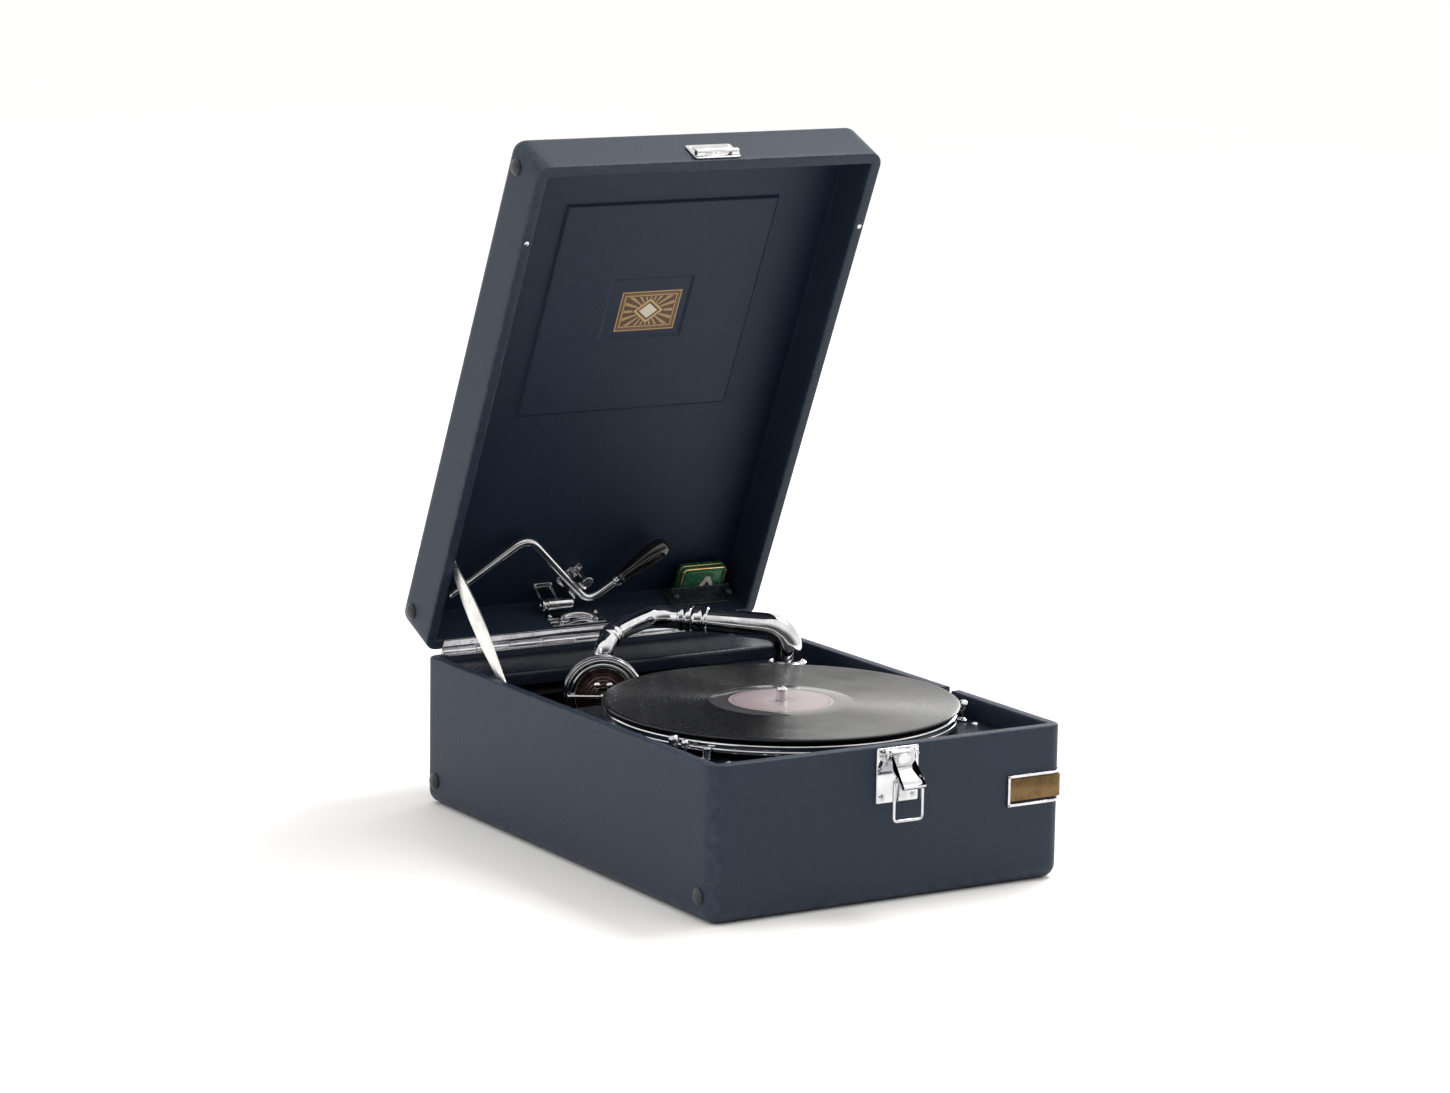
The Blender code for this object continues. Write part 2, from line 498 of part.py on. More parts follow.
def make_barrel():
    wall = BARREL_WALL
    drum = finish("spring_barrel", turned(new(), [
        (3.4 * MM, BARREL_Z1 - wall), (BARREL_R - wall, BARREL_Z1 - wall), (BARREL_R - wall, BARREL_Z0),
        (BARREL_R, BARREL_Z0), (BARREL_R, BARREL_Z1), (3.4 * MM, BARREL_Z1)], 40, BARREL_AT), "brass", BARREL_AT)
    add(drum, gear(new(), BARREL_AT, BARREL_TEETH, BARREL_Z1 - 0.4 * MM, BARREL_Z1 + GEAR_T, math.radians(10)))
    cut(drum, rod(new(), BARREL_AT + Vector((0, 0, BARREL_Z1 - 4 * MM)), BARREL_AT + Vector((0, 0, BARREL_Z1 + 2 * GEAR_T)),
                  3.4 * MM, 16))
    low = BARREL_Z0 + wall
    finish("barrel_cover", turned(new(), [
        (3.4 * MM, BARREL_Z0), (BARREL_R - wall - GAP, BARREL_Z0), (BARREL_R - wall - GAP, low), (3.4 * MM, low)],
        32, BARREL_AT), "steel", BARREL_AT)

    z0, z1 = low + 0.6 * MM, BARREL_Z1 - wall - 0.6 * MM
    turns, steps, inner, outer, thick = 5, 18, 7.5 * MM, BARREL_R - wall - 1.2 * MM, 0.9 * MM
    rings = []
    for k in range(turns * steps + 1):
        a = 2 * math.pi * k / steps
        radius = inner + (outer - inner) * k / (turns * steps)
        spoke = Vector((math.cos(a), math.sin(a), 0))
        rings.append([BARREL_AT + spoke * radius + Vector((0, 0, z0)),
                      BARREL_AT + spoke * (radius + thick) + Vector((0, 0, z0)),
                      BARREL_AT + spoke * (radius + thick) + Vector((0, 0, z1)),
                      BARREL_AT + spoke * radius + Vector((0, 0, z1))])
    finish("mainspring", loft(new(), rings), "steel", BARREL_AT)

    arbor = turned(new(), [(0, BOTTOM_PLATE_Z), (2 * MM, BOTTOM_PLATE_Z), (2 * MM, 31 * MM), (3 * MM, 31 * MM),
                           (3 * MM, TOP_PLATE_Z + PLATE_T), (0, TOP_PLATE_Z + PLATE_T)], 16, BARREL_AT)
    arbor = finish("barrel_arbor", arbor, "steel", BARREL_AT)
    crown = turned(new(), [(2 * MM, CROWN_TOP - 4 * MM), (CROWN_R, CROWN_TOP - 2.5 * MM), (CROWN_R, CROWN_TOP - MM),
                           (9 * MM, CROWN_TOP - 0.4 * MM), (2 * MM, CROWN_TOP - 0.4 * MM)], 24, BARREL_AT)
    add(arbor, crown)

    x0 = BARREL_AT.x + 8.2 * MM
    shaft = turned(new(), [
        (0, 0), (5.2 * MM, 0), (6.2 * MM, 4.6 * MM), (WIND_R, 5.4 * MM), (WIND_R, IN_X + 2 * MM - x0),
        (2.6 * MM, IN_X + 2 * MM - x0), (2.6 * MM, IN_X + 6.5 * MM - x0), (0, IN_X + 6.5 * MM - x0)],
        16, (x0, BARREL_AT.y, WIND_Z), (1, 0, 0))
    finish("winding_shaft", shaft, "steel", (x0, BARREL_AT.y, WIND_Z))
    wall_in, wall_out = IN_X, CASE_W / 2
    bush = turned(new(), [
        (4.1 * MM, wall_in - wall_out - 1 * MM), (6.6 * MM, wall_in - wall_out - 1 * MM), (6.6 * MM, GAP),
        (11 * MM, GAP), (11 * MM, 1.4 * MM), (8 * MM, 2.6 * MM), (4.1 * MM, 2.6 * MM)],
        24, (wall_out, BARREL_AT.y, WIND_Z), (1, 0, 0))
    finish("winding_bush", bush, "chrome")


def make_governor():
    at = Vector((-34 * MM, GOVERNOR_Y, WORM_WHEEL_Z))
    rings, steps = [], 12
    for k in range(-17, 18):
        x = k * 0.4 * MM
        ring = []
        for j in range(steps):
            a = 2 * math.pi * j / steps
            wave = 0.5 + 0.5 * math.cos(2 * math.pi * x / WORM_PITCH - a + math.pi)
            radius = WORM_R - 1.0 * MM + 1.5 * MM * wave ** 2
            ring.append(Vector((SPINDLE_X + x, GOVERNOR_Y + radius * math.cos(a),
                                WORM_WHEEL_Z + radius * math.sin(a))))
        rings.append(ring)
    shaft = finish("governor_shaft", loft(new(), rings), "steel", at)
    add(shaft, rod(new(), (-33 * MM, GOVERNOR_Y, WORM_WHEEL_Z), (67 * MM, GOVERNOR_Y, WORM_WHEEL_Z), 1.7 * MM, 10))

    bore = 1.7 * MM + GAP
    weights = finish("governor_weights", turned(new(), [
        (bore, 26 * MM), (4.5 * MM, 26 * MM), (4.5 * MM, 29 * MM), (bore, 29 * MM)], 12,
        (0, GOVERNOR_Y, WORM_WHEEL_Z), (1, 0, 0)), "brass", at)
    add(weights, turned(new(), [(bore, 51 * MM), (4.5 * MM, 51 * MM), (4.5 * MM, 54 * MM), (bore, 54 * MM)], 12,
                        (0, GOVERNOR_Y, WORM_WHEEL_Z), (1, 0, 0)))
    for k in range(3):
        turn = Matrix.Rotation(2 * math.pi * k / 3, 3, "X")
        strip = []
        for i in range(9):
            t = i / 8
            bow = 3.6 * MM + 5.2 * MM * math.sin(math.pi * t)
            x = (27.5 + 25 * t) * MM
            strip.append([Vector((x, GOVERNOR_Y, WORM_WHEEL_Z)) + turn @ Vector((0, y, z)) for y, z in (
                (-1.6 * MM, bow), (1.6 * MM, bow), (1.6 * MM, bow + 0.5 * MM), (-1.6 * MM, bow + 0.5 * MM))])
        add(weights, loft(new(), strip))
        centre = Vector((40 * MM, GOVERNOR_Y, WORM_WHEEL_Z)) + turn @ Vector((0, 0, 10.4 * MM))
        ball = new()
        bmesh.ops.create_icosphere(ball, subdivisions=1, radius=3.6 * MM, matrix=Matrix.Translation(centre))
        add(weights, ball)
    finish("governor_disc", turned(new(), [
        (bore, 56 * MM), (10 * MM, 56 * MM), (10 * MM, 57.2 * MM), (3.4 * MM, 57.2 * MM), (3.4 * MM, 60 * MM),
        (bore, 60 * MM)], 24, (0, GOVERNOR_Y, WORM_WHEEL_Z), (1, 0, 0)), "brass", at)


def ball_post(at, low):
    """A vertical pin with a ball on top, as one turned outline."""
    outline = [(0, low), (POST_R, low)]
    for k in range(7):
        a = math.radians(-60 + 25 * k)
        if k < 6:
            outline.append((BALL_R * math.cos(a), at.z + BALL_R * math.sin(a)))
    outline.append((0, at.z + BALL_R))
    return turned(new(), outline, 14, (at.x, at.y, 0))


def make_levers():
    under = BOARD_TOP - BOARD_T
    speed = finish("speed_regulator", ball_post(REGULATOR_AT, under - 5 * MM), "chrome", REGULATOR_AT)
    add(speed, box(new(), (REGULATOR_AT.x - 30 * MM, REGULATOR_AT.y - 2.5 * MM, under - 4 * MM),
                   (REGULATOR_AT.x + 3 * MM, REGULATOR_AT.y + 2.5 * MM, under - 2.4 * MM)))
    add(speed, turned(new(), [(0, BOARD_TOP + GAP), (4.2 * MM, BOARD_TOP + GAP), (4.2 * MM, BOARD_TOP + 1.6 * MM),
                              (0, BOARD_TOP + 1.6 * MM)], 16, (REGULATOR_AT.x, REGULATOR_AT.y, 0)))

    pad_r, out = 3.2 * MM, Vector((math.cos(math.radians(215)), math.sin(math.radians(215)), 0))
    pad = SPINDLE + out * (PLATTER_R + 2 * GAP + pad_r)
    brake = finish("brake_lever", ball_post(BRAKE_AT, under - MM), "chrome", BRAKE_AT)
    low, high = BOARD_TOP + GAP, BOARD_TOP + 2 * MM
    along = Vector((pad.x - BRAKE_AT.x, pad.y - BRAKE_AT.y, 0))
    side = Vector((-along.y, along.x, 0)).normalized() * 3 * MM
    foot, end = Vector((BRAKE_AT.x, BRAKE_AT.y, 0)), Vector((pad.x, pad.y, 0))
    start = foot - along.normalized() * 3 * MM
    add(brake, loft(new(), [[p + Vector((0, 0, z)) for p in (start - side, end - side, end + side, start + side)]
                            for z in (low, high)]))
    add(brake, rod(new(), (pad.x, pad.y, low), (pad.x, pad.y, PLATTER_TOP - 4 * MM), pad_r, 12))


# ---------------------------------------------------------------- tone arm
def make_arm():
    foot = (ARM_X, ARM_Y, 0)
    low = BOARD_TOP + GAP
    finish("tonearm_base", turned(new(), [
        (ARM_R + GAP, low), (19 * MM, low), (19 * MM, low + 2 * MM), (14.5 * MM, low + 4 * MM),
        (14.5 * MM, low + 12 * MM), (ARM_R + GAP, low + 12 * MM)], 28, foot), "chrome")

    along = Vector((ARM_JOINT.x - ARM_X, ARM_JOINT.y - ARM_Y, 0))
    corner = Vector((ARM_X, ARM_Y, ARM_Z))
    path = bent_path([Vector((ARM_X, ARM_Y, BOARD_TOP + 1.5 * MM)), corner, ARM_JOINT], 14 * MM, 7)
    path = path[:1] + [Vector((ARM_X, ARM_Y, 108 * MM))] + path[1:-1] + [
        path[-2].lerp(ARM_JOINT, t) for t in (0.3, 0.62, 0.88, 0.885, 1)]
    radii = [ARM_R - 0.3 * MM] * (len(path) - 5) + [
        ARM_R - 0.5 * MM, ARM_R - 1.6 * MM, ARM_END_R, ARM_END_R + 1.3 * MM, ARM_END_R + 1.3 * MM]
    finish("tonearm", pipe(new(), path, radii, 20, ARM_WALL), "chrome", foot)

    lead = (ARM_JOINT - path[-2]).normalized()
    plug = BOX_AT - BOX_FACES * 13.5 * MM
    elbow = plug - BOX_FACES * 10.5 * MM
    route = [ARM_JOINT + lead * 2 * GAP, ARM_JOINT + lead * 8 * MM] + [Vector(p) * MM for p in (
        (26, 141, 135.3), (12, 143.5, 135.6), (-2, 137.3, 135), (-18, 128.5, 133.6), (-34, 119.2, 130.6))]
    route += [elbow + Vector((1.2, -0.6, 30)) * MM, elbow + Vector((0, 0, 20)) * MM]
    path = smooth_path(route, 3)[:-1]
    path += bent_path([elbow + Vector((0, 0, 20)) * MM, elbow, plug - BOX_FACES * GAP], 9 * MM, 4)
    count = len(path) - 1
    radii = [ARM_END_R + (NECK_END_R - ARM_END_R) * min(1, i / (0.6 * count)) for i in range(count + 1)]
    neck = finish("gooseneck", pipe(new(), path, radii, 14, ARM_WALL), "chrome", ARM_JOINT)
    ferrule = route[6] - route[5]
    ferrule = turned(new(), [(NECK_END_R - 0.6 * MM, -2.5 * MM), (NECK_END_R + 1.6 * MM, -2.5 * MM),
                             (NECK_END_R + 1.6 * MM, 2.5 * MM), (NECK_END_R - 0.6 * MM, 2.5 * MM)],
                     16, route[6], ferrule)
    add(neck, ferrule)
    assert along.length > 2 * ARM_R
    make_sound_box()


def make_sound_box():
    """A round cup with a ringed open front, the diaphragm inside it and the needle's lever across its face."""
    ring = BOX_R - 4 * MM
    finish("sound_box_shell", turned(new(), [
        (3.2 * MM, -13.5 * MM), (8 * MM, -13.5 * MM), (8 * MM, -8.5 * MM), (20 * MM, -7.5 * MM), (BOX_R - MM, -5.5 * MM),
        (BOX_R, -4.5 * MM), (BOX_R, 4 * MM), (BOX_R - MM, 5 * MM), (ring, 5 * MM), (ring, -3 * MM),
        (3.2 * MM, -4.5 * MM)], 36, BOX_AT, BOX_FACES), "chrome", ARM_JOINT)
    dish = 3 * MM
    finish("diaphragm", turned(new(), [
        (0, -1.6 * MM + dish), (6 * MM, -1.6 * MM + dish * 0.8), (14 * MM, -1.6 * MM), (ring - GAP, -MM),
        (ring - GAP, -1.6 * MM), (14 * MM, -2.2 * MM), (0, -2.2 * MM)], 28, BOX_AT, BOX_FACES),
        "diaphragm", ARM_JOINT)
    face, down = BOX_FACES, Vector((0, 0, -1))
    hub = BOX_AT + face * 2.2 * MM
    knee = BOX_AT + face * 7.4 * MM + down * 10 * MM
    pivot = BOX_AT + face * 7.4 * MM + down * (BOX_R - 3 * MM)
    socket = pivot + down * 9 * MM
    bar = finish("needle_bar", pipe(new(), [hub, BOX_AT + face * 6.4 * MM + down * 4 * MM, knee, pivot, socket],
                                    [1.2 * MM, 1.3 * MM, 1.5 * MM, 2.4 * MM, 2.6 * MM], 10), "chrome", ARM_JOINT)
    across = face.cross(down).normalized()
    add(bar, rod(new(), pivot - across * 8 * MM, pivot + across * 8 * MM, 2.3 * MM, 10))
    add(bar, rod(new(), socket - down * 3 * MM, socket - down * 3 * MM + face * 9 * MM, 1.2 * MM, 8))
    add(bar, rod(new(), socket - down * 3 * MM + face * 7 * MM, socket - down * 3 * MM + face * 12 * MM, 2.8 * MM, 10))
    cut(bar, rod(new(), socket + down * MM, socket - down * 2 * MM, 1.1 * MM, 8))
    finish("needle", turned(new(), [(0, 0), (0.75 * MM, 0), (0.75 * MM, 10 * MM), (0, 16 * MM)], 8,
                            socket - down * 1.6 * MM, down), "steel", ARM_JOINT)


# ---------------------------------------------------------------- latch, handle and needle tray
def make_latch():
    face = -CASE_D / 2 - GAP
    x = LATCH_X
    plate = finish("latch_plate", box(new(), (x - 17 * MM, face - 1.2 * MM, 70.5 * MM),
                                      (x + 17 * MM, face, BASE_H - 1 * MM)), "chrome", smooth=False)
    for side in (-1, 1):
        lug = x + side * 11.5 * MM
        add(plate, box(new(), (lug - 0.8 * MM, face - 7 * MM, 99 * MM), (lug + 0.8 * MM, face - MM, 107.5 * MM)))
    add(plate, rod(new(), (x - 11 * MM, LEVER_AT.y, LEVER_AT.z), (x + 11 * MM, LEVER_AT.y, LEVER_AT.z), 1.3 * MM, 10))

    profile = [(-1.9, 106.0), (-1.6, 98.5), (-6.2, 94.3), (-16.2, 87.6), (-17.2, 84.5), (-20.2, 82.6),
               (-23.5, 84.6), (-23.9, 86.3), (-21.1, 85.6), (-19.3, 88.3), (-9.3, 95.6), (-8.7, 107.0),
               (-6.5, 108.4), (-3.7, 108.0)]
    lever = finish("latch_lever", loft(new(), [[Vector((px, face + y * MM, z * MM)) for y, z in profile]
                                               for px in (x - 9 * MM, x + 9 * MM)]), "chrome", LEVER_AT, smooth=False)
    cut(lever, rod(new(), (x - 12 * MM, LEVER_AT.y, LEVER_AT.z), (x + 12 * MM, LEVER_AT.y, LEVER_AT.z), 1.6 * MM, 12))
    bore = BAIL_R + GAP
    cut(lever, rod(new(), (x - 12 * MM, BAIL_AT.y, BAIL_AT.z), (x + 12 * MM, BAIL_AT.y, BAIL_AT.z), bore, 12))

    half, low = 11.5 * MM, 60.5 * MM
    corners = [(-8.5, 0), (half / MM, 0), (half / MM, (BAIL_AT.z - low) / MM), (-half / MM, (BAIL_AT.z - low) / MM),
               (-half / MM, 0), (-9.2, 0)]
    del corners[0], corners[-1]
    loop = [Vector((x + px * MM, BAIL_AT.y, BAIL_AT.z - drop * MM)) for px, drop in corners]
    path = bent_path([loop[0] - Vector((3.5 * MM, 0, 0)), *loop, loop[-1] + Vector((3.5 * MM, 0, 0))], 2.4 * MM, 3)
    finish("latch_bail", pipe(new(), path, [BAIL_R] * len(path), 8), "chrome", BAIL_AT)


BAIL_R = 1.1 * MM
LEVER_AT = Vector((LATCH_X, -CASE_D / 2 - 5.6 * MM, 104.6 * MM))
BAIL_AT = Vector((LATCH_X, -CASE_D / 2 - 15.2 * MM, 89.4 * MM))


def make_handle():
    face, half = CASE_W / 2 + GAP, HANDLE_SPAN / 2
    for name, side in (("handle_bracket_front", -1), ("handle_bracket_rear", 1)):
        y = side * half
        bracket = finish(name, box(new(), (face, y - 11 * MM, HANDLE_Z - 9 * MM),
                                   (face + 1.4 * MM, y + 11 * MM, HANDLE_Z + 11 * MM)), "chrome", smooth=False)
        for lug in (-6.6, 6.6):
            lug = y + lug * MM
            add(bracket, box(new(), (face + MM, lug - 1.1 * MM, HANDLE_Z - 3 * MM),
                             (face + HANDLE_OUT + 2.4 * MM, lug + 1.1 * MM, HANDLE_Z + 3 * MM)))
        add(bracket, rod(new(), (face + HANDLE_OUT, y - 6.6 * MM, HANDLE_Z),
                         (face + HANDLE_OUT, y + 6.6 * MM, HANDLE_Z), 1.7 * MM, 12))
    x = face + HANDLE_OUT
    route = [Vector((x, s * a * MM, HANDLE_Z + b * MM)) for s, a, b in (
        (-1, 58, -3), (-1, 57, -14), (-1, 50, -27), (-1, 36, -32.5), (-1, 12, -33.5),
        (1, 12, -33.5), (1, 36, -32.5), (1, 50, -27), (1, 57, -14), (1, 58, -3))]
    path = smooth_path(route, 2)
    radii = [(3.3 + 3.0 * math.sin(math.pi * i / (len(path) - 1)) ** 0.6) * MM for i in range(len(path))]
    grip = finish("carrying_handle", pipe(new(), path, radii, 12), "cloth", (x, 0, HANDLE_Z))
    for side in (-1, 1):
        y = side * half
        add(grip, rod(new(), (x, y - 4.8 * MM, HANDLE_Z), (x, y + 4.8 * MM, HANDLE_Z), 4.4 * MM, 14))
        cut(grip, rod(new(), (x, y - 8 * MM, HANDLE_Z), (x, y + 8 * MM, HANDLE_Z), 2.1 * MM, 12))


def quadrant(radius, out, z):
    """The plan of the tray: square at the case's corner, round at its inner side."""
    points = [Vector((TRAY_X + out - 3 * MM, TRAY_Y - out, z)), Vector((TRAY_X + out, TRAY_Y - out + 3 * MM, z)),
              Vector((TRAY_X + out, TRAY_Y + radius * 0.98, z))]
    for k in range(1, 8):
        a = math.radians(90 + 90 * k / 8)
        points.append(Vector((TRAY_X + radius * math.cos(a), TRAY_Y + radius * math.sin(a), z)))
    points.append(Vector((TRAY_X - radius * 0.98, TRAY_Y - out, z)))
    return points


def make_tray():
    out = CASE_W / 2 - TRAY_X - 0.5 * MM
    z0, z1 = TRAY_Z0, TRAY_Z0 + TRAY_H
    solid = loft(new(), [quadrant(TRAY_R, out, z) for z in (z0, z1)])
    tray = finish("needle_tray", solid, "tray", (TRAY_X, TRAY_Y, z0), smooth=False)
    cut(tray, loft(new(), [quadrant(TRAY_R - TRAY_WALL - 0.6 * MM, out - TRAY_WALL, z)
                           for z in (z0 + TRAY_WALL, z1 + MM)]))

    bar, face_y, face_x = 1.9 * MM, -CASE_D / 2 - GAP, CASE_W / 2 + GAP
    left, rear = TRAY_X - TRAY_R - 1.2 * MM, TRAY_Y + TRAY_R + 1.2 * MM

    def corner_bar(low, high):
        inner = [(left, face_y), (CASE_W / 2 - CORNER_R, face_y)]
        outer = [(left, face_y - 1.5 * MM), (CASE_W / 2 - CORNER_R, face_y - 1.5 * MM)]
        for points, radius in ((inner, CORNER_R + GAP), (outer, CORNER_R + GAP + 1.5 * MM)):
            for k in range(1, 4):
                a = math.radians(-90 + 90 * k / 4)
                points.append((CASE_W / 2 - CORNER_R + radius * math.cos(a),
                               -CASE_D / 2 + CORNER_R + radius * math.sin(a)))
        inner += [(face_x, -CASE_D / 2 + CORNER_R), (face_x, rear)]
        outer += [(face_x + 1.5 * MM, -CASE_D / 2 + CORNER_R), (face_x + 1.5 * MM, rear)]
        outline = inner + outer[::-1]
        return loft(new(), [[Vector((x, y, z)) for x, y in outline] for z in (low, high)])

    low, high = z0 - 1.2 * MM, z1 + 1.2 * MM
    frame = finish("needle_box_frame", corner_bar(low - bar, low), "chrome", smooth=False)
    add(frame, corner_bar(high, high + bar))
    add(frame, box(new(), (left, face_y - 1.5 * MM, low - MM), (left + bar, face_y, high + MM)))
    add(frame, box(new(), (face_x, rear - bar, low - MM), (face_x + 1.5 * MM, rear, high + MM)))


# ---------------------------------------------------------------- lid and what it carries
def make_lid(lid):
    shell = [[p + Vector((0, 0, BASE_H + RIM_GAP)) for p in ring] for ring in tub(LID_H - RIM_GAP, LID_TOP_T, flip=True)]
    case = finish("lid_case", loft(new(), shell), "cloth", HINGE, lid)
    leaf_room = HINGE_LEN / 2 + 0.5 * MM
    cut(case, box(new(), (-leaf_room, IN_Y - 0.4 * MM, BASE_H - MM),
                  (leaf_room, CASE_D / 2 + MM, BASE_H + RIM_GAP + LEAF_T + 0.2 * MM)))
    for name, y in (("lid_side_stud_front", -STUD_Y), ("lid_side_stud_rear", STUD_Y)):
        finish(name, stud(y, BASE_H + 30 * MM), "stud", HINGE, lid)

    face, x = -CASE_D / 2 - GAP, LATCH_X
    hook = finish("lid_hook", box(new(), (x - 19 * MM, face - 1.3 * MM, BASE_H + 3 * MM),
                                  (x + 19 * MM, face, BASE_H + 21 * MM)), "chrome", HINGE, lid, smooth=False)
    cut(hook, box(new(), (x - 14.5 * MM, face - 3 * MM, BASE_H + 13 * MM), (x + 14.5 * MM, face + MM, BASE_H + 18 * MM)))
    for side in (-1, 1):
        foot = x + side * 14.5 * MM
        add(hook, box(new(), (foot - 3 * MM, face - 5.5 * MM, BASE_H + 4 * MM), (foot + 3 * MM, face - MM, BASE_H + 9.5 * MM)))
    add(hook, rod(new(), (x - 14 * MM, face - 4 * MM, BASE_H + 7 * MM), (x + 14 * MM, face - 4 * MM, BASE_H + 7 * MM), 1.4 * MM, 8))

    make_stay(lid)
    make_crank(lid)
    make_tin(lid)
    wall = IN_Y - GAP
    finish("lid_wall_plate", box(new(), (-35 * MM, wall - 0.8 * MM, BASE_H + 2.4 * MM),
                                 (12 * MM, wall, BASE_H + 19 * MM)), "chrome", HINGE, lid, smooth=False)


STAY_TOP_SHUT = Vector((0, 130.6 * MM, BASE_H + 5.8 * MM))
STAY_FOOT = Vector((0, 98 * MM, 103.5 * MM))
STAY_X, STAY_T = -IN_X + 0.4 * MM, 1.5 * MM


def make_stay(lid):
    """The strut that holds the lid: one end on a rivet in the lid, the other in a catch on the base's wall."""
    top = lid.matrix_basis @ (STAY_TOP_SHUT - HINGE)
    along = STAY_FOOT - top
    length = along.length
    along.normalize()
    across = Vector((0, -along.z, along.y))
    outline = []
    for side, order in ((1, range(13)), (-1, reversed(range(13)))):
        for k in order:
            t = k / 12
            half = (3.2 + 5.2 * math.sin(math.pi * t ** 0.85) ** 1.3) * MM
            outline.append(top + along * (length * t) + across * half * side)
    made = finish("lid_stay", loft(new(), [[p + Vector((x, 0, 0)) for p in outline]
                                           for x in (STAY_X, STAY_X + STAY_T)]), "chrome", top, smooth=False)
    add(made, rod(new(), (STAY_X, top.y, top.z), (STAY_X + 3 * MM, top.y, top.z), 2.6 * MM, 12))
    bracket = box(new(), (STAY_X - 0.1 * MM, 90 * MM, BOARD_TOP + GAP), (STAY_X + 4.2 * MM, 106 * MM, BOARD_TOP + 2 * MM))
    made = finish("stay_catch", bracket, "chrome", smooth=False)
    add(made, box(new(), (STAY_X + STAY_T + 1.2 * MM, 90 * MM, BOARD_TOP + MM),
                  (STAY_X + STAY_T + 2.7 * MM, 106 * MM, BOARD_TOP + 12 * MM)))


def in_lid(x, y, depth):
    """A point of the shut lid: depth is measured up from the base's rim."""
    return Vector((x * MM, y * MM, BASE_H + depth * MM))


def make_crank(lid):
    depth = CRANK_DEPTH / MM
    tip, first = in_lid(-119, 172.6, depth), in_lid(-63, 125, depth)
    second, grip_from, grip_to = in_lid(4, 190.6, depth), in_lid(27, 171.6, depth), in_lid(59, 145, depth)
    path = bent_path([tip, first, second, grip_to], CRANK_BEND, 5)
    crank = finish("crank", pipe(new(), path, [CRANK_R] * (len(path) - 1) + [2.4 * MM], 12), "chrome", HINGE, lid)
    along = (grip_to - second).normalized()
    add(crank, turned(new(), [(2 * MM, -3 * MM), (5.6 * MM, -3 * MM), (5.6 * MM, 0), (2 * MM, 0)], 14,
                      grip_from - along * GAP, along))
    cut(crank, turned(new(), [(2.4 * MM, 0), (9 * MM, 0), (9 * MM, 60 * MM), (2.4 * MM, 60 * MM)], 14,
                      grip_from - along * GAP, along))
    length = (grip_to - grip_from).length
    bore = 2.7 * MM
    outline = [(bore, 0), (5.4 * MM, 0), (6.2 * MM, 5 * MM), (GRIP_R, length * 0.7), (GRIP_R - 0.7 * MM, length),
               (GRIP_R - 3 * MM, length + 3 * MM), (2.2 * MM, length + 4.2 * MM), (bore, length + 1.2 * MM)]
    outline = [p for p in outline if p[0] >= bore]
    finish("crank_grip", turned(new(), outline, 18, grip_from, along), "grip", HINGE, lid)

    arm = (second - first).normalized()
    side = Vector((arm.y, -arm.x, 0))
    seat = in_lid(-11, 0, depth)
    seat.y = first.y + (seat.x - first.x) * arm.y / arm.x
    panel = BASE_H + LID_H - LID_TOP_T - GAP

    def block(half_long, side_low, side_high, z_low, z_high):
        corners = [seat + arm * a * half_long + side * s for a, s in (
            (-1, side_low), (1, side_low), (1, side_high), (-1, side_high))]
        return loft(new(), [[Vector((p.x, p.y, z)) for p in corners] for z in (z_low, z_high)])
    reach = CRANK_R + GAP
    clip = finish("crank_clip", block(6 * MM, -8 * MM, 8 * MM, panel - 1.2 * MM, panel), "chrome", HINGE, lid, smooth=False)
    for s in (-1, 1):
        low, high = sorted((s * reach, s * (reach + 1.2 * MM)))
        add(clip, block(5 * MM, low, high, seat.z - 3 * MM, panel - MM))

    roller_y, roller_z, roller_r = 187.8 * MM, BASE_H + 20 * MM, 4.4 * MM
    cradle = finish("crank_cradle", turned(new(), [
        (0, 0), (5.2 * MM, 0), (5.2 * MM, 2 * MM), (3.4 * MM, 2.6 * MM), (3.4 * MM, 5 * MM), (roller_r, 5.4 * MM),
        (roller_r, 27 * MM), (3 * MM, 28 * MM), (0, 28 * MM)], 16,
        (-39 * MM, roller_y, roller_z), (1, 0, 0)), "chrome", HINGE, lid)
    for x in (-37.6 * MM, -24 * MM):
        add(cradle, rod(new(), (x, roller_y, roller_z), (x, roller_y - 6 * MM, panel - 0.8 * MM), 1.2 * MM, 8))
    add(cradle, box(new(), (-39 * MM, roller_y - 9 * MM, panel - MM), (-22.6 * MM, roller_y - 3 * MM, panel)))


def make_tin(lid):
    face, back = BASE_H + 21.6 * MM, BASE_H + 31 * MM
    shelf = finish("tin_holder", box(new(), (75 * MM, 184.6 * MM, BASE_H + 19.8 * MM),
                                     (128 * MM, IN_Y - GAP, BASE_H + 21 * MM)), "stud", HINGE, lid, smooth=False)
    add(shelf, box(new(), (75 * MM, IN_Y - GAP - 1.2 * MM, BASE_H + 12 * MM),
                   (128 * MM, IN_Y - GAP, BASE_H + 36 * MM)))
    tin = new()
    box(tin, (83 * MM, 168.8 * MM, face), (123.5 * MM, 194.2 * MM, back))
    bmesh.ops.bevel(tin, geom=[e for e in tin.edges if abs(e.verts[0].co.z - e.verts[1].co.z) > MM],
                    offset=4 * MM, segments=3, affect="EDGES", profile=0.5)
    finish("needle_tin", tin, "tin", HINGE, lid)


def main():
    clear_scene()
    MATERIALS.update(make_materials())
    lid = bpy.data.objects.new("lid_axis", None)
    bpy.context.scene.collection.objects.link(lid)
    lid.location = HINGE
    lid.rotation_euler.x = -LID_OPEN
    bpy.context.view_layer.update()
    make_base()
    make_horn()
    make_hinge(lid)
    make_turntable()
    make_motor()
    make_levers()
    make_arm()
    make_latch()
    make_handle()
    make_tray()
    make_lid(lid)


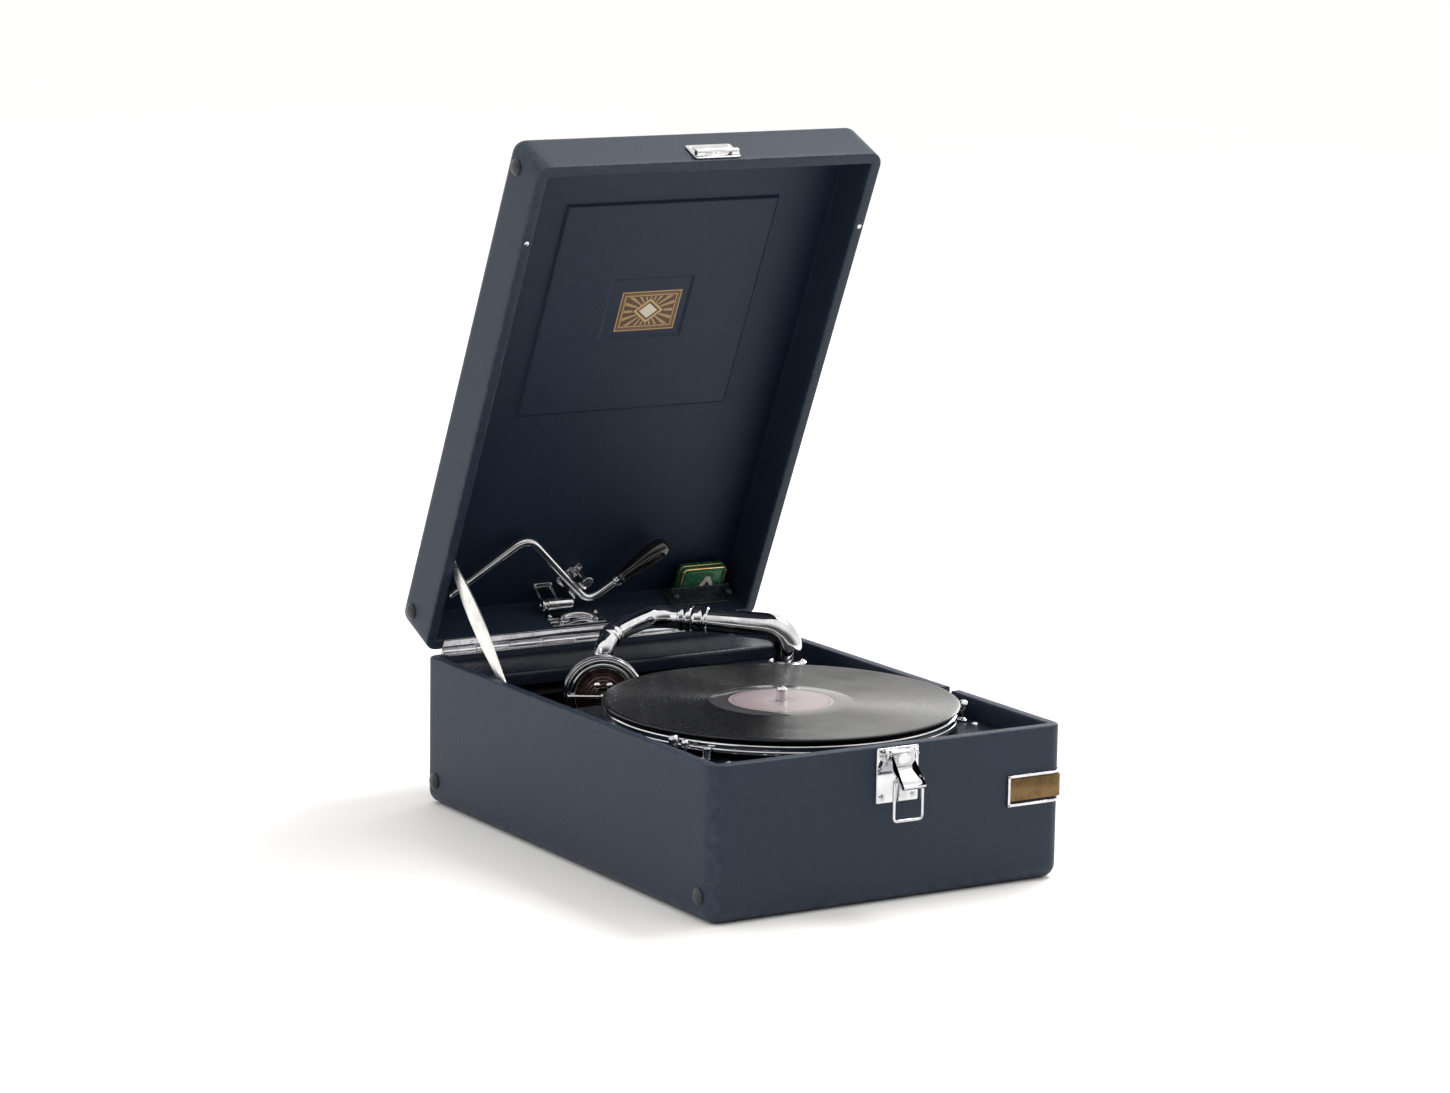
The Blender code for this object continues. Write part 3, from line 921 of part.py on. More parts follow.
MATERIALS = {}
main()
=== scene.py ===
# %% [markdown]
# A suitcase gramophone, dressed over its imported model.
#
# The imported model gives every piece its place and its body. This file lays finished surfaces over it: covered
# wood, plated brass, pressed shellac. Each shape is a formula worked out with numpy as one whole array of points,
# so that it can be read and changed. Everything is in metres, with Z up and the case standing on the ground.

# %% Load the frame
import math

import bmesh
import bpy
import numpy as np
from mathutils import Matrix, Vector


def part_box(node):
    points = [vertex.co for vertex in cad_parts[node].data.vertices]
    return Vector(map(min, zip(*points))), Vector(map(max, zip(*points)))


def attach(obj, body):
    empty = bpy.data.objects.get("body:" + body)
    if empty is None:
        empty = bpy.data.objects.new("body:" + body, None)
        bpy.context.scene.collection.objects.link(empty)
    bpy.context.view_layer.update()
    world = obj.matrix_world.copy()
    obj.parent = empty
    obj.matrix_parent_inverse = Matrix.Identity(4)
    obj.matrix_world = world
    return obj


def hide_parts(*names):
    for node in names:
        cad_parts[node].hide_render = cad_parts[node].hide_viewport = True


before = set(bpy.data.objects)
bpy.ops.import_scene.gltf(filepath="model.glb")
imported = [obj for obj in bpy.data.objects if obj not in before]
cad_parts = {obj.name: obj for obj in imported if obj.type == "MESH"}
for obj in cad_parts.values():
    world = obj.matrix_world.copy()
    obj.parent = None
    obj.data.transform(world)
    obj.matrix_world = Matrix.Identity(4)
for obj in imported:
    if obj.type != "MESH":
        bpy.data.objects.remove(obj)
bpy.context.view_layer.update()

MM = 0.001
FACING = {"u": (1, 0, 0), "v": (0, 0, 1)}
SIDEWAYS = {"u": (0, 1, 0), "v": (0, 0, 1)}

# %% [markdown]
# Where things are. The hinge line and the case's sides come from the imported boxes, and the rest is measured from
# them. The lid's pieces are worked out with the lid shut and then turned open, because a shut lid is square to
# the axes and so is everything in it.

# %% Places
case_x, case_y, rim_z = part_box("base_case")[1]
pin_low, pin_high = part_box("hinge_pin")
HINGE = np.array([0.0, (pin_low[1] + pin_high[1]) / 2, (pin_low[2] + pin_high[2]) / 2])
LID_OPEN = math.radians(65.5)
WALL, CORNER_R, EDGE_R = 8.5 * MM, 10.5 * MM, 10 * MM
BOARD_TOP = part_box("motor_board")[1][2]
disc_low, disc_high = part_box("record")
CENTRE = np.array([(disc_low[0] + disc_high[0]) / 2, (disc_low[1] + disc_high[1]) / 2, 0.0])
print("rim", rim_z, "hinge", HINGE, "record centre", CENTRE)


def open_lid(points):
    """Points of the shut lid turned open about the hinge line: y' = y cos a + z sin a, z' = z cos a - y sin a."""
    turn = np.array(Matrix.Rotation(-LID_OPEN, 3, "X"))
    return (np.asarray(points) - HINGE) @ turn.T + HINGE


# %% [markdown]
# Four ways of making a surface cover the whole instrument. A grid of points becomes faces (`skin`). A profile
# turned round an axis gives knobs, rings and discs (`lathe`). A ring carried along a path gives tubes and wires
# (`tube`). A flat outline given a thickness and rounded edges gives plates and straps (`slab`). `soften` rounds
# the corners of any profile first, since nothing on a real instrument is quite sharp.

# %% Surfaces from grids
def skin(points, around=True, along=False, caps=True):
    """Joins point (i, j) to (i+1, j), (i+1, j+1) and (i, j+1); around and along close the grid on itself."""
    points = np.asarray(points, float)
    rows, cols = points.shape[:2]
    i, j = np.meshgrid(np.arange(rows if along else rows - 1), np.arange(cols if around else cols - 1), indexing="ij")
    down, right = (i + 1) % rows, (j + 1) % cols
    faces = np.stack([i * cols + j, down * cols + j, down * cols + right, i * cols + right], -1).reshape(-1, 4).tolist()
    if caps and around and not along:
        faces += [list(range(cols)), list(range((rows - 1) * cols, rows * cols))]
    return points.reshape(-1, 3), faces


def soften(corners, radius, steps=4, closed=False):
    """Each corner P becomes the curve (1-t)^2 A + 2t(1-t) P + t^2 C, with A and C a radius away along its two sides."""
    p = np.asarray(corners, float)
    before, after = np.roll(p, 1, 0) - p, np.roll(p, -1, 0) - p
    reach = [np.linalg.norm(side, axis=1, keepdims=True) + 1e-12 for side in (before, after)]
    r = np.minimum(np.minimum(np.reshape(radius, (-1, 1)), 0.48 * reach[0]), 0.48 * reach[1])
    a, c = (p + side / length * r for side, length in zip((before, after), reach))
    t = np.linspace(0, 1, steps)[None, :, None]
    curve = (1 - t) ** 2 * a[:, None] + 2 * t * (1 - t) * p[:, None] + t ** 2 * c[:, None]
    if closed:
        return curve.reshape(-1, p.shape[1])
    return np.concatenate([p[:1], curve[1:-1].reshape(-1, p.shape[1]), p[-1:]])


def mm(points):
    """Points given in millimetres, in metres."""
    return np.array(points) * MM


def unit(v):
    v = np.asarray(v, float)
    return v / np.linalg.norm(v, axis=-1, keepdims=True)


def cross_axes(axis):
    """Two directions square to the axis and to each other."""
    axis = unit(axis)
    side = unit(np.cross(axis, (0, 0, 1.0) if abs(axis[2]) < 0.9 else (1.0, 0, 0)))
    return side, np.cross(axis, side)


def lathe(profile, at=(0, 0, 0), axis=(0, 0, 1), segments=48, bored=False):
    """at + h axis + r (side cos a + other sin a) for each (r, h) of the profile and each angle a round the turn."""
    profile = np.asarray(profile, float)
    side, other = cross_axes(axis)
    a = np.linspace(0, 2 * math.pi, segments, endpoint=False)
    spoke = np.cos(a)[:, None] * side + np.sin(a)[:, None] * other
    points = np.asarray(at) + profile[:, 1, None, None] * unit(axis) + profile[:, 0, None, None] * spoke
    return skin(points, along=bored)


def rod(radius, low, high, at, axis, segments, edge=0.0):
    """A plain cylinder from low to high along the axis, its two edges rounded."""
    profile = [(0, low), (radius, low), (radius, high), (0, high)]
    return lathe(soften(profile, edge, 4) if edge else profile, at, axis, segments)


def arc(angles, radius, centre=(0, 0)):
    """centre + radius (cos a, sin a) for each angle a."""
    return np.stack([centre[0] + radius * np.cos(angles), centre[1] + radius * np.sin(angles)], 1)


def tube(path, radius, segments=20, up=(0.31, 0.52, 0.79), ends=0.0):
    """path(s) + r(s) (side cos a + other sin a), side and other square to the path; ends rounds its two ends."""
    path = np.asarray(path, float)
    radius = np.broadcast_to(np.asarray(radius, float), (len(path),))
    along = unit(np.gradient(path, axis=0))
    if ends:
        a = np.linspace(0, math.pi / 2, 5)[1:, None]
        first = path[:1] - along[:1] * radius[0] * ends * np.sin(a)
        last = path[-1:] + along[-1:] * radius[-1] * ends * np.sin(a)
        path = np.concatenate([first[::-1], path, last])
        along = np.concatenate([np.repeat(along[:1], 4, 0), along, np.repeat(along[-1:], 4, 0)])
        shrink = np.maximum(np.cos(a[:, 0]), 0.02)
        radius = np.concatenate([(radius[0] * shrink)[::-1], radius, radius[-1] * shrink])
    side = unit(np.cross(along, np.asarray(up, float)))
    other = np.cross(along, side)
    a = np.linspace(0, 2 * math.pi, segments, endpoint=False)
    ring = np.cos(a)[None, :, None] * side[:, None] + np.sin(a)[None, :, None] * other[:, None]
    return skin(path[:, None] + radius[:, None, None] * ring)


def slab(outline, low, high, edge, at=(0, 0, 0), u=(1, 0, 0), v=(0, 1, 0)):
    """at + p u + q v + h w for the outline's (p, q); it shrinks by edge (1 - cos b) near h = low and high."""
    outline = np.asarray(outline, float)
    step = np.roll(outline, -1, 0) - np.roll(outline, 1, 0)
    turn = np.sum(outline[:, 0] * np.roll(outline[:, 1], -1) - outline[:, 1] * np.roll(outline[:, 0], -1))
    inward = unit(np.stack([-step[:, 1], step[:, 0]], 1)) * np.sign(turn)
    b = np.linspace(0, math.pi / 2, 4)
    inset = np.concatenate([edge * (1 - np.sin(b)), edge * (1 - np.cos(b))])
    height = np.concatenate([low + edge * (1 - np.cos(b)), high - edge * (1 - np.sin(b))])
    u, v = unit(u), unit(v)
    flat = outline[None] + inset[:, None, None] * inward[None]
    return skin(np.asarray(at) + flat[..., :1] * u + flat[..., 1:] * v + height[:, None, None] * np.cross(u, v))


def block(half_u, half_v, radius, centre=(0, 0), steps=5):
    """The outline of a rectangle with round corners."""
    corners = np.array([(-1, -1), (1, -1), (1, 1), (-1, 1)]) * (half_u, half_v) + centre
    return soften(corners, radius, steps, closed=True)


def plate(shape, levels, centre=(0, 0), *place, **plane):
    """A rectangle's half sides and corner radius, then its low and high faces and edge radius, in millimetres."""
    return slab(block(*mm(shape), centre), *mm(levels), *place, **plane)


def smooth_path(knots, steps=6):
    """A curve through the knots: on each span the cubic that leaves and meets them along (next - last) / 2."""
    k = np.asarray(knots, float)
    ends = np.concatenate([2 * k[:1] - k[1:2], k, 2 * k[-1:] - k[-2:-1]])
    p0, p1, p2, p3 = ends[:-3, None], ends[1:-2, None], ends[2:-1, None], ends[3:, None]
    t = np.linspace(0, 1, steps, endpoint=False)[None, :, None]
    curve = 0.5 * (2 * p1 + (p2 - p0) * t + (2 * p0 - 5 * p1 + 4 * p2 - p3) * t ** 2
        + (3 * p1 - p0 - 3 * p2 + p3) * t ** 3)
    return np.concatenate([curve.reshape(-1, 3), k[-1:]])


def arc_path(corners, radius, steps=8):
    """Straight runs with points along them, joined by curves that start a radius before each corner."""
    bent = soften(corners, np.asarray(radius, float), steps)
    gaps = np.linalg.norm(np.diff(bent, axis=0), axis=1)
    at = np.concatenate([[0], np.cumsum(gaps)])
    where = np.unique(np.round(np.concatenate([at, np.linspace(0, at[-1], 24)]), 5))
    where = where[np.concatenate([[True], np.diff(where) > 0.0004])]
    return np.stack([np.interp(where, at, bent[:, k]) for k in range(3)], 1)


def screw_head(at, axis, radius, slot_angle=0.4):
    """A slotted dome of height 0.42 r (1 - (d/r)^2)^0.7, less a groove along the slot's line."""
    d = np.array([0, 0.12, 0.22, 0.4, 0.6, 0.8, 0.95, 1.0, 1.02])[:, None]
    a = np.linspace(0, 2 * math.pi, 32, endpoint=False)[None]
    height = 0.42 * radius * (1 - np.minimum(d, 1) ** 2) ** 0.7 * np.ones_like(a)
    groove = np.clip(1.6 - np.abs(d * np.sin(a - slot_angle)) / 0.11, 0, 1) * (d < 0.97)
    height = np.maximum(height - 0.3 * radius * groove, 0.02 * radius) * (d < 1.01) - 0.25 * radius * (d > 1.01)
    side, other = cross_axes(axis)
    reach = radius * np.minimum(d, 1.0)
    return skin(np.asarray(at) + height[..., None] * unit(axis)
                + (reach * np.cos(a))[..., None] * side + (reach * np.sin(a))[..., None] * other)


# %% Put surfaces into one piece
MERGE = 2e-6
SHUT_BODIES = ("lid", "crank", "grip", "tin")


def mesh_of(name, surfaces, worn=None):
    """One mesh from several surfaces: doubles merged and normals outward, with the wear stored at each point."""
    starts = np.cumsum([0] + [len(points) for points, _ in surfaces])
    faces = [[start + k for k in face] for start, (_, made) in zip(starts, surfaces) for face in made]
    mesh = bpy.data.meshes.new(name)
    mesh.from_pydata(np.concatenate([points for points, _ in surfaces]), [], faces)
    if worn is not None:
        mesh.attributes.new("worn", "FLOAT", "POINT").data.foreach_set("value", np.asarray(worn, float).ravel())
    shape = bmesh.new()
    shape.from_mesh(mesh)
    bmesh.ops.remove_doubles(shape, verts=shape.verts, dist=MERGE)
    bmesh.ops.recalc_face_normals(shape, faces=shape.faces)
    shape.to_mesh(mesh)
    shape.free()
    return mesh


def add_object(name, data):
    made = bpy.data.objects.new(name, data)
    bpy.context.scene.collection.objects.link(made)
    return made


def shade(mesh, sharp=38):
    """Smooth shading everywhere but at edges turned by more than this many degrees."""
    mesh.shade_smooth()
    mesh.set_sharp_from_angle(angle=math.radians(sharp))


def piece(name, surfaces, finish, body, nodes=(), lid=None, sharp=38, worn=None):
    """One object on its body. A piece of the lid is worked out with the lid shut, then turned open with it."""
    if body in SHUT_BODIES if lid is None else lid:
        surfaces = [(open_lid(points), faces) for points, faces in surfaces]
    mesh = mesh_of(name, surfaces, worn)
    shade(mesh, sharp)
    made = add_object(name, mesh)
    mesh.materials.append(finish)
    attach(made, body)
    if nodes:
        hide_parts(*nodes)
    print(f"{name}: {len(mesh.polygons)} faces")
    return made


def carve(made, surfaces):
    """Cuts closed surfaces out of a piece with an exact boolean, applied at once."""
    tool = add_object("tool", mesh_of("tool", surfaces))
    cut = made.modifiers.new("cut", "BOOLEAN")
    cut.operation, cut.object, cut.solver = "DIFFERENCE", tool, "EXACT"
    view = bpy.context.evaluated_depsgraph_get()
    result = bpy.data.meshes.new_from_object(made.evaluated_get(view), preserve_all_data_layers=True, depsgraph=view)
    made.modifiers.clear()
    made.data = result
    bpy.data.objects.remove(tool)
    shade(result)
    print(f"carved {made.name}: {len(result.polygons)} faces")


# %% [markdown]
# Finishes. Every finish is a small network of nodes: the grain of the covering, the wear on its edges and the
# finger marks on plating are node groups, built once and placed in each material with its own numbers. The
# shader itself stays in the material. All patterns read Object coordinates, in metres, so a scale of 900 gives
# grain a little over a millimetre across on every piece.

# %% Node groups
def new_group(name, inputs, outputs):
    tree = bpy.data.node_groups.new(name, "ShaderNodeTree")
    for socket, kind, value in inputs:
        made = tree.interface.new_socket(name=socket, in_out="INPUT", socket_type=kind)
        if value is not None:
            made.default_value = value
    for socket, kind in outputs:
        tree.interface.new_socket(name=socket, in_out="OUTPUT", socket_type=kind)
    return tree, tree.nodes.new("NodeGroupInput"), tree.nodes.new("NodeGroupOutput")


def node(tree, kind, settings=None, **inputs):
    """A node with its settings, and each named input linked to a socket or set to a value."""
    made = tree.nodes.new("ShaderNode" + kind)
    for key, value in (settings or {}).items():
        setattr(made, key, value)
    for key, value in inputs.items():
        by_place = key[0] == "i" and key[1:].isdigit()
        socket = made.inputs[int(key[1:]) if by_place else key.replace("_", " ")]
        if isinstance(value, bpy.types.NodeSocket):
            tree.links.new(value, socket)
        else:
            socket.default_value = value
    return made


def maths(tree, operation, a, b=0.0, clamp=False):
    return node(tree, "Math", {"operation": operation, "use_clamp": clamp}, i0=a, i1=b).outputs[0]


def blend_colour(tree, factor, a, b):
    """Mix node for colours: a where the factor is 0, b where it is 1."""
    made = tree.nodes.new("ShaderNodeMix")
    made.data_type = "RGBA"
    for index, value in ((0, factor), (6, a), (7, b)):
        if isinstance(value, bpy.types.NodeSocket):
            tree.links.new(value, made.inputs[index])
        else:
            made.inputs[index].default_value = value if index == 0 else (*value, 1)
    return made.outputs[2]


def make_grain():
    """Pebbled grain: rounded cells pushed about by noise, with slower patches of lighter and darker cloth."""
    tree, given, out = new_group("Leather grain", [("Vector", "NodeSocketVector", None),
        ("Scale", "NodeSocketFloat", 900.0)], [("Height", "NodeSocketFloat"), ("Shade", "NodeSocketFloat")])
    where, scale = given.outputs["Vector"], given.outputs["Scale"]
    cells = node(tree, "TexVoronoi", {"feature": "SMOOTH_F1"}, Vector=where, Scale=scale,
        Smoothness=0.6).outputs["Distance"]
    fine = node(tree, "TexNoise", Vector=where, Scale=maths(tree, "MULTIPLY", scale, 2.2), Detail=3.0).outputs[0]
    slow = node(tree, "TexNoise", Vector=where, Scale=maths(tree, "MULTIPLY", scale, 0.014), Detail=4.0).outputs[0]
    height = maths(tree, "ADD", maths(tree, "MULTIPLY", cells, -0.8), maths(tree, "MULTIPLY", fine, 0.5))
    shade = maths(tree, "ADD", maths(tree, "MULTIPLY", slow, 0.7), maths(tree, "MULTIPLY", cells, 0.45), clamp=True)
    tree.links.new(height, out.inputs["Height"])
    tree.links.new(shade, out.inputs["Shade"])
    return tree


def make_wear():
    """Wear: the piece's own worn value, broken up by noise so that it comes and goes along an edge."""
    tree, given, out = new_group("Edge wear", [("Vector", "NodeSocketVector", None),
        ("Amount", "NodeSocketFloat", 1.0)], [("Mask", "NodeSocketFloat")])
    edge = node(tree, "Attribute", {"attribute_name": "worn"}).outputs["Fac"]
    rough = node(tree, "TexNoise", Vector=given.outputs["Vector"], Scale=160.0, Detail=5.0).outputs[0]
    spots = maths(tree, "MULTIPLY", maths(tree, "SUBTRACT", rough, 0.38, clamp=True), 3.2, clamp=True)
    mask = maths(tree, "MULTIPLY", maths(tree, "MULTIPLY", edge, spots), given.outputs["Amount"], clamp=True)
    tree.links.new(mask, out.inputs["Mask"])
    return tree


def make_marks():
    """Finger marks and fine scratches on plating, from 0 clean to 1 dull."""
    tree, given, out = new_group("Plating marks", [("Vector", "NodeSocketVector", None),
        ("Scale", "NodeSocketFloat", 60.0)], [("Marks", "NodeSocketFloat"), ("Height", "NodeSocketFloat")])
    where, scale = given.outputs["Vector"], given.outputs["Scale"]
    cloud = node(tree, "TexNoise", Vector=where, Scale=scale, Detail=5.0, Roughness=0.6).outputs[0]
    specks = node(tree, "TexNoise", Vector=where, Scale=maths(tree, "MULTIPLY", scale, 14.0), Detail=2.0).outputs[0]
    marks = maths(tree, "ADD", maths(tree, "MULTIPLY", maths(tree, "SUBTRACT", cloud, 0.4, clamp=True), 2.4),
                  maths(tree, "MULTIPLY", maths(tree, "SUBTRACT", specks, 0.62, clamp=True), 2.5), clamp=True)
    tree.links.new(marks, out.inputs["Marks"])
    tree.links.new(cloud, out.inputs["Height"])
    return tree


GRAIN, WEAR, MARKS = make_grain(), make_wear(), make_marks()


def placed(tree, group, **inputs):
    made = tree.nodes.new("ShaderNodeGroup")
    made.node_tree = group
    for key, value in inputs.items():
        if isinstance(value, bpy.types.NodeSocket):
            tree.links.new(value, made.inputs[key])
        else:
            made.inputs[key].default_value = value
    return made


def start(name, **constants):
    """A new material: its tree, its shader and its Object coordinates."""
    made = bpy.data.materials.new(name)
    made.use_nodes = True
    tree = made.node_tree
    shader = tree.nodes["Principled BSDF"]
    for key, value in constants.items():
        shader.inputs[key.replace("_", " ")].default_value = value
    return made, tree, shader, tree.nodes.new("ShaderNodeTexCoord").outputs["Object"]


def connect(tree, shader, colour=None, roughness=None, height=None, depth=0.0002, strength=1.0):
    if colour is not None:
        tree.links.new(colour, shader.inputs["Base Color"])
    if roughness is not None:
        tree.links.new(roughness, shader.inputs["Roughness"])
    if height is not None:
        bump = node(tree, "Bump", Height=height, Distance=depth, Strength=strength)
        tree.links.new(bump.outputs[0], shader.inputs["Normal"])


def between(tree, value, low, high):
    return node(tree, "MapRange", i0=value, i3=low, i4=high).outputs[0]


# %% [markdown]
# The covering is a coated bookcloth embossed like fine leather. Its grain is a bump of under a tenth of a
# millimetre, its colour drifts a little from patch to patch, and it rubs pale along the edges.

# %% Covering, plating and the rest
def leathercloth(name, dark, light, worn, scale=900.0, shine=(0.42, 0.62), depth=0.00014, wear=0.3):
    made, tree, shader, where = start(name, Specular_IOR_Level=0.34)
    grain = placed(tree, GRAIN, Vector=where, Scale=scale)
    rubbed = placed(tree, WEAR, Vector=where, Amount=wear)
    colour = blend_colour(tree, grain.outputs["Shade"], dark, light)
    colour = blend_colour(tree, rubbed.outputs["Mask"], colour, worn)
    connect(tree, shader, colour, between(tree, grain.outputs["Shade"], *shine), grain.outputs["Height"], depth)
    return made


def plating(name, clean, dull, shine=(0.04, 0.2), scale=60.0, depth=0.00003):
    made, tree, shader, where = start(name, Metallic=1.0)
    marks = placed(tree, MARKS, Vector=where, Scale=scale)
    colour = blend_colour(tree, marks.outputs["Marks"], clean, dull)
    connect(tree, shader, colour, between(tree, marks.outputs["Marks"], *shine), marks.outputs["Height"], depth)
    return made


def gloss(name, dark, light, shine, scale=120.0, depth=0.00004, **constants):
    """A plain moulded, painted or turned finish with cloudy colour and a faint unevenness."""
    made, tree, shader, where = start(name, **constants)
    marks = placed(tree, MARKS, Vector=where, Scale=scale)
    colour = blend_colour(tree, marks.outputs["Marks"], dark, light)
    connect(tree, shader, colour, between(tree, marks.outputs["Marks"], *shine), marks.outputs["Height"], depth)
    return made


CLOTH = leathercloth("navy covering", (0.0055, 0.0125, 0.027), (0.0165, 0.0285, 0.052), (0.08, 0.105, 0.14),
    scale=640.0, depth=0.00022)
LINING = leathercloth("navy lining", (0.0028, 0.0095, 0.025), (0.0075, 0.0185, 0.043), (0.05, 0.07, 0.11),
    shine=(0.4, 0.58))
DECK = leathercloth("deck covering", (0.006, 0.010, 0.018), (0.012, 0.018, 0.03), (0.04, 0.05, 0.07), shine=(0.2, 0.36))
CHROME = plating("chrome plate", (0.74, 0.74, 0.755), (0.42, 0.42, 0.44), depth=0.00006)
SATIN = plating("satin nickel", (0.86, 0.85, 0.83), (0.66, 0.65, 0.62), shine=(0.26, 0.46), scale=110.0)
STEEL = plating("motor steel", (0.46, 0.46, 0.45), (0.25, 0.25, 0.24), shine=(0.25, 0.5))
BRASS = plating("gear brass", (0.66, 0.47, 0.2), (0.38, 0.27, 0.12), shine=(0.2, 0.42))
GILT = plating("gilt edge", (0.8, 0.62, 0.27), (0.5, 0.4, 0.2), shine=(0.14, 0.35))
BRONZE = plating("bronzed tin", (0.19, 0.12, 0.055), (0.085, 0.06, 0.032), shine=(0.3, 0.55), scale=140.0)
STUD = gloss("dark steel stud", (0.022, 0.026, 0.031), (0.055, 0.06, 0.066), (0.3, 0.5), Metallic=0.35)
GRIP = gloss("black lacquered wood", (0.004, 0.004, 0.005), (0.012, 0.012, 0.013), (0.06, 0.2), Coat_Weight=0.6)
HORN = gloss("black horn enamel", (0.004, 0.005, 0.007), (0.012, 0.014, 0.017), (0.5, 0.75))
FELT = leathercloth("navy felt", (0.010, 0.014, 0.026), (0.026, 0.034, 0.055), (0.03, 0.04, 0.06), scale=2400.0,
                    shine=(0.85, 0.98), depth=0.0003)
GREEN = gloss("green tin", (0.02, 0.12, 0.055), (0.05, 0.2, 0.1), (0.2, 0.42), Metallic=0.3)
CREAM = gloss("cream clip", (0.62, 0.6, 0.48), (0.42, 0.41, 0.32), (0.25, 0.5))
WINE = gloss("lacquered diaphragm", (0.055, 0.032, 0.028), (0.11, 0.07, 0.06), (0.18, 0.35), Metallic=0.7)
print("finishes", len(bpy.data.materials))

# %% [markdown]
# The case is a box of thin wood, rounded all round and covered in one skin. Base and lid are the same tub: an
# outline with round corners, carried along a profile that goes up the outside, over the rim and down the inside.
# Rows are added just inside each edge, so that wear can fade out there.

# %% Case tubs
def tub(half_x, half_y, height, floor, rim=1.3 * MM):
    """Grid of the outline at each (inset, z) of the profile, with the corner radius shrinking as the inset grows."""
    a = np.linspace(0, math.pi / 2, 9)
    b = np.linspace(0, math.pi / 2, 5)
    rows = np.concatenate([np.stack([EDGE_R * (1 - np.sin(a)), EDGE_R * (1 - np.cos(a)), np.sin(2 * a)], 1),
        [(0, EDGE_R + 4 * MM, 0), (0, height - 6 * MM, 0)], np.stack([rim * (1 - np.cos(b)), height - rim
        + rim * np.sin(b), 0.3 + 0.7 * np.sin(2 * b)], 1), np.stack([WALL - rim * (1 - np.sin(b)), height - rim
        + rim * np.cos(b), 0.3 + 0.7 * np.sin(2 * b)], 1), [(WALL, height - 6 * MM, 0), (WALL, floor + 4 * MM, 0),
        (WALL, floor + MM, 0), (WALL + 0.3 * MM, floor + 0.3 * MM, 0), (WALL + MM, floor, 0),
        (WALL + 6 * MM, floor, 0)]])
    inset, z, row_wear = rows[:, 0, None], rows[:, 1, None], rows[:, 2, None]
    radius = np.maximum(CORNER_R - inset * (CORNER_R - 0.8 * MM) / WALL, 0.3 * MM)
    quarter = np.linspace(0, math.pi / 2, 8)
    bend = np.concatenate([[0], quarter, [math.pi / 2]])
    spare = np.concatenate([[-1], np.zeros(8), [1]]) * 5 * MM
    turn = (bend[None] + math.pi / 2 * np.arange(4)[:, None]).ravel()[None]
    push = np.tile(spare, 4)[None]
    quadrant = np.repeat(np.arange(4), 10)
    sign_x, sign_y = np.array([1, -1, -1, 1])[quadrant][None], np.array([1, 1, -1, -1])[quadrant][None]
    x = sign_x * (half_x - inset - radius) + radius * np.cos(turn) - push * np.sin(turn)
    y = sign_y * (half_y - inset - radius) + radius * np.sin(turn) + push * np.cos(turn)
    corner_wear = np.tile(np.concatenate([[0], np.sin(2 * quarter), [0]]), 4)[None] * (inset < 2 * MM)
    return np.stack([x, y, z + 0 * x], -1), np.maximum(row_wear, 0.8 * corner_wear) + 0 * x


base_points, base_wear = tub(case_x, case_y, rim_z, 6 * MM)
base = piece("case_base_shell", [skin(base_points)], CLOTH, "case", ["base_case"], worn=base_wear)
lid_points, lid_wear = tub(case_x, case_y, 46 * MM, 9.5 * MM)
LID_TOP = rim_z + 46.5 * MM
lid_points = lid_points * (1, 1, -1) + (0, 0, LID_TOP)
lid_shell = piece("case_lid_shell", [skin(lid_points)], CLOTH, "lid", ["lid_case"], worn=lid_wear)

# %% Openings in the tubs
IN_X, IN_Y = case_x - WALL, case_y - WALL
HINGE_HALF, SLIT = 128 * MM, 128.5 * MM
NOTCH_Y = (-78 * MM, -64 * MM)


def box_of(low, high):
    """A closed box for carving: its two ends as rings of four points."""
    (x0, y0, z0), (x1, y1, z1) = low, high
    ring = np.array([(x0, y0), (x1, y0), (x1, y1), (x0, y1)])
    return skin(np.stack([np.column_stack([ring, np.full(4, z)]) for z in (z0, z1)]))


bush_low, bush_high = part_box("winding_bush")
bush_y, bush_z = (bush_low[1] + bush_high[1]) / 2, (bush_low[2] + bush_high[2]) / 2
tray_low, tray_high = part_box("needle_tray")
carve(base, [box_of((-SLIT, IN_Y - 0.4 * MM, rim_z - MM), (SLIT, case_y + MM, rim_z + MM)),
    box_of((IN_X - MM, NOTCH_Y[0], rim_z - 5.5 * MM), (case_x + MM, NOTCH_Y[1], rim_z + MM)),
    box_of((tray_low[0] - MM, tray_low[1] - 2 * MM, tray_low[2] - 0.5 * MM), (case_x + MM, tray_high[1] + MM,
    tray_high[2] + 0.5 * MM)), rod(7 * MM, 0, 12 * MM, (IN_X - MM, bush_y, bush_z), (1, 0, 0), 32)])
slit = box_of((-SLIT, IN_Y - 0.4 * MM, rim_z - MM), (SLIT, case_y + MM, rim_z + 1.5 * MM))
carve(lid_shell, [(open_lid(slit[0]), slit[1])])

# %% [markdown]
# Inside the lid a square panel stands proud of the lining, with a shallow bed for the maker's transfer. It is a
# height map over a grid whose lines crowd together at the steps. The transfer is an invented one: a gilt frame
# round a lozenge and its rays, painted by a value stored at each point.

# %% Lid lining
def inside(x, y, centre, half, ramp):
    """0 outside a rectangle and 1 inside it, passing smoothly between over the ramp: s = 3t^2 - 2t^3."""
    reach = np.minimum(half[0] - np.abs(x - centre[0]), half[1] - np.abs(y - centre[1]))
    t = np.clip(reach / ramp + 0.5, 0, 1)
    return t * t * (3 - 2 * t)


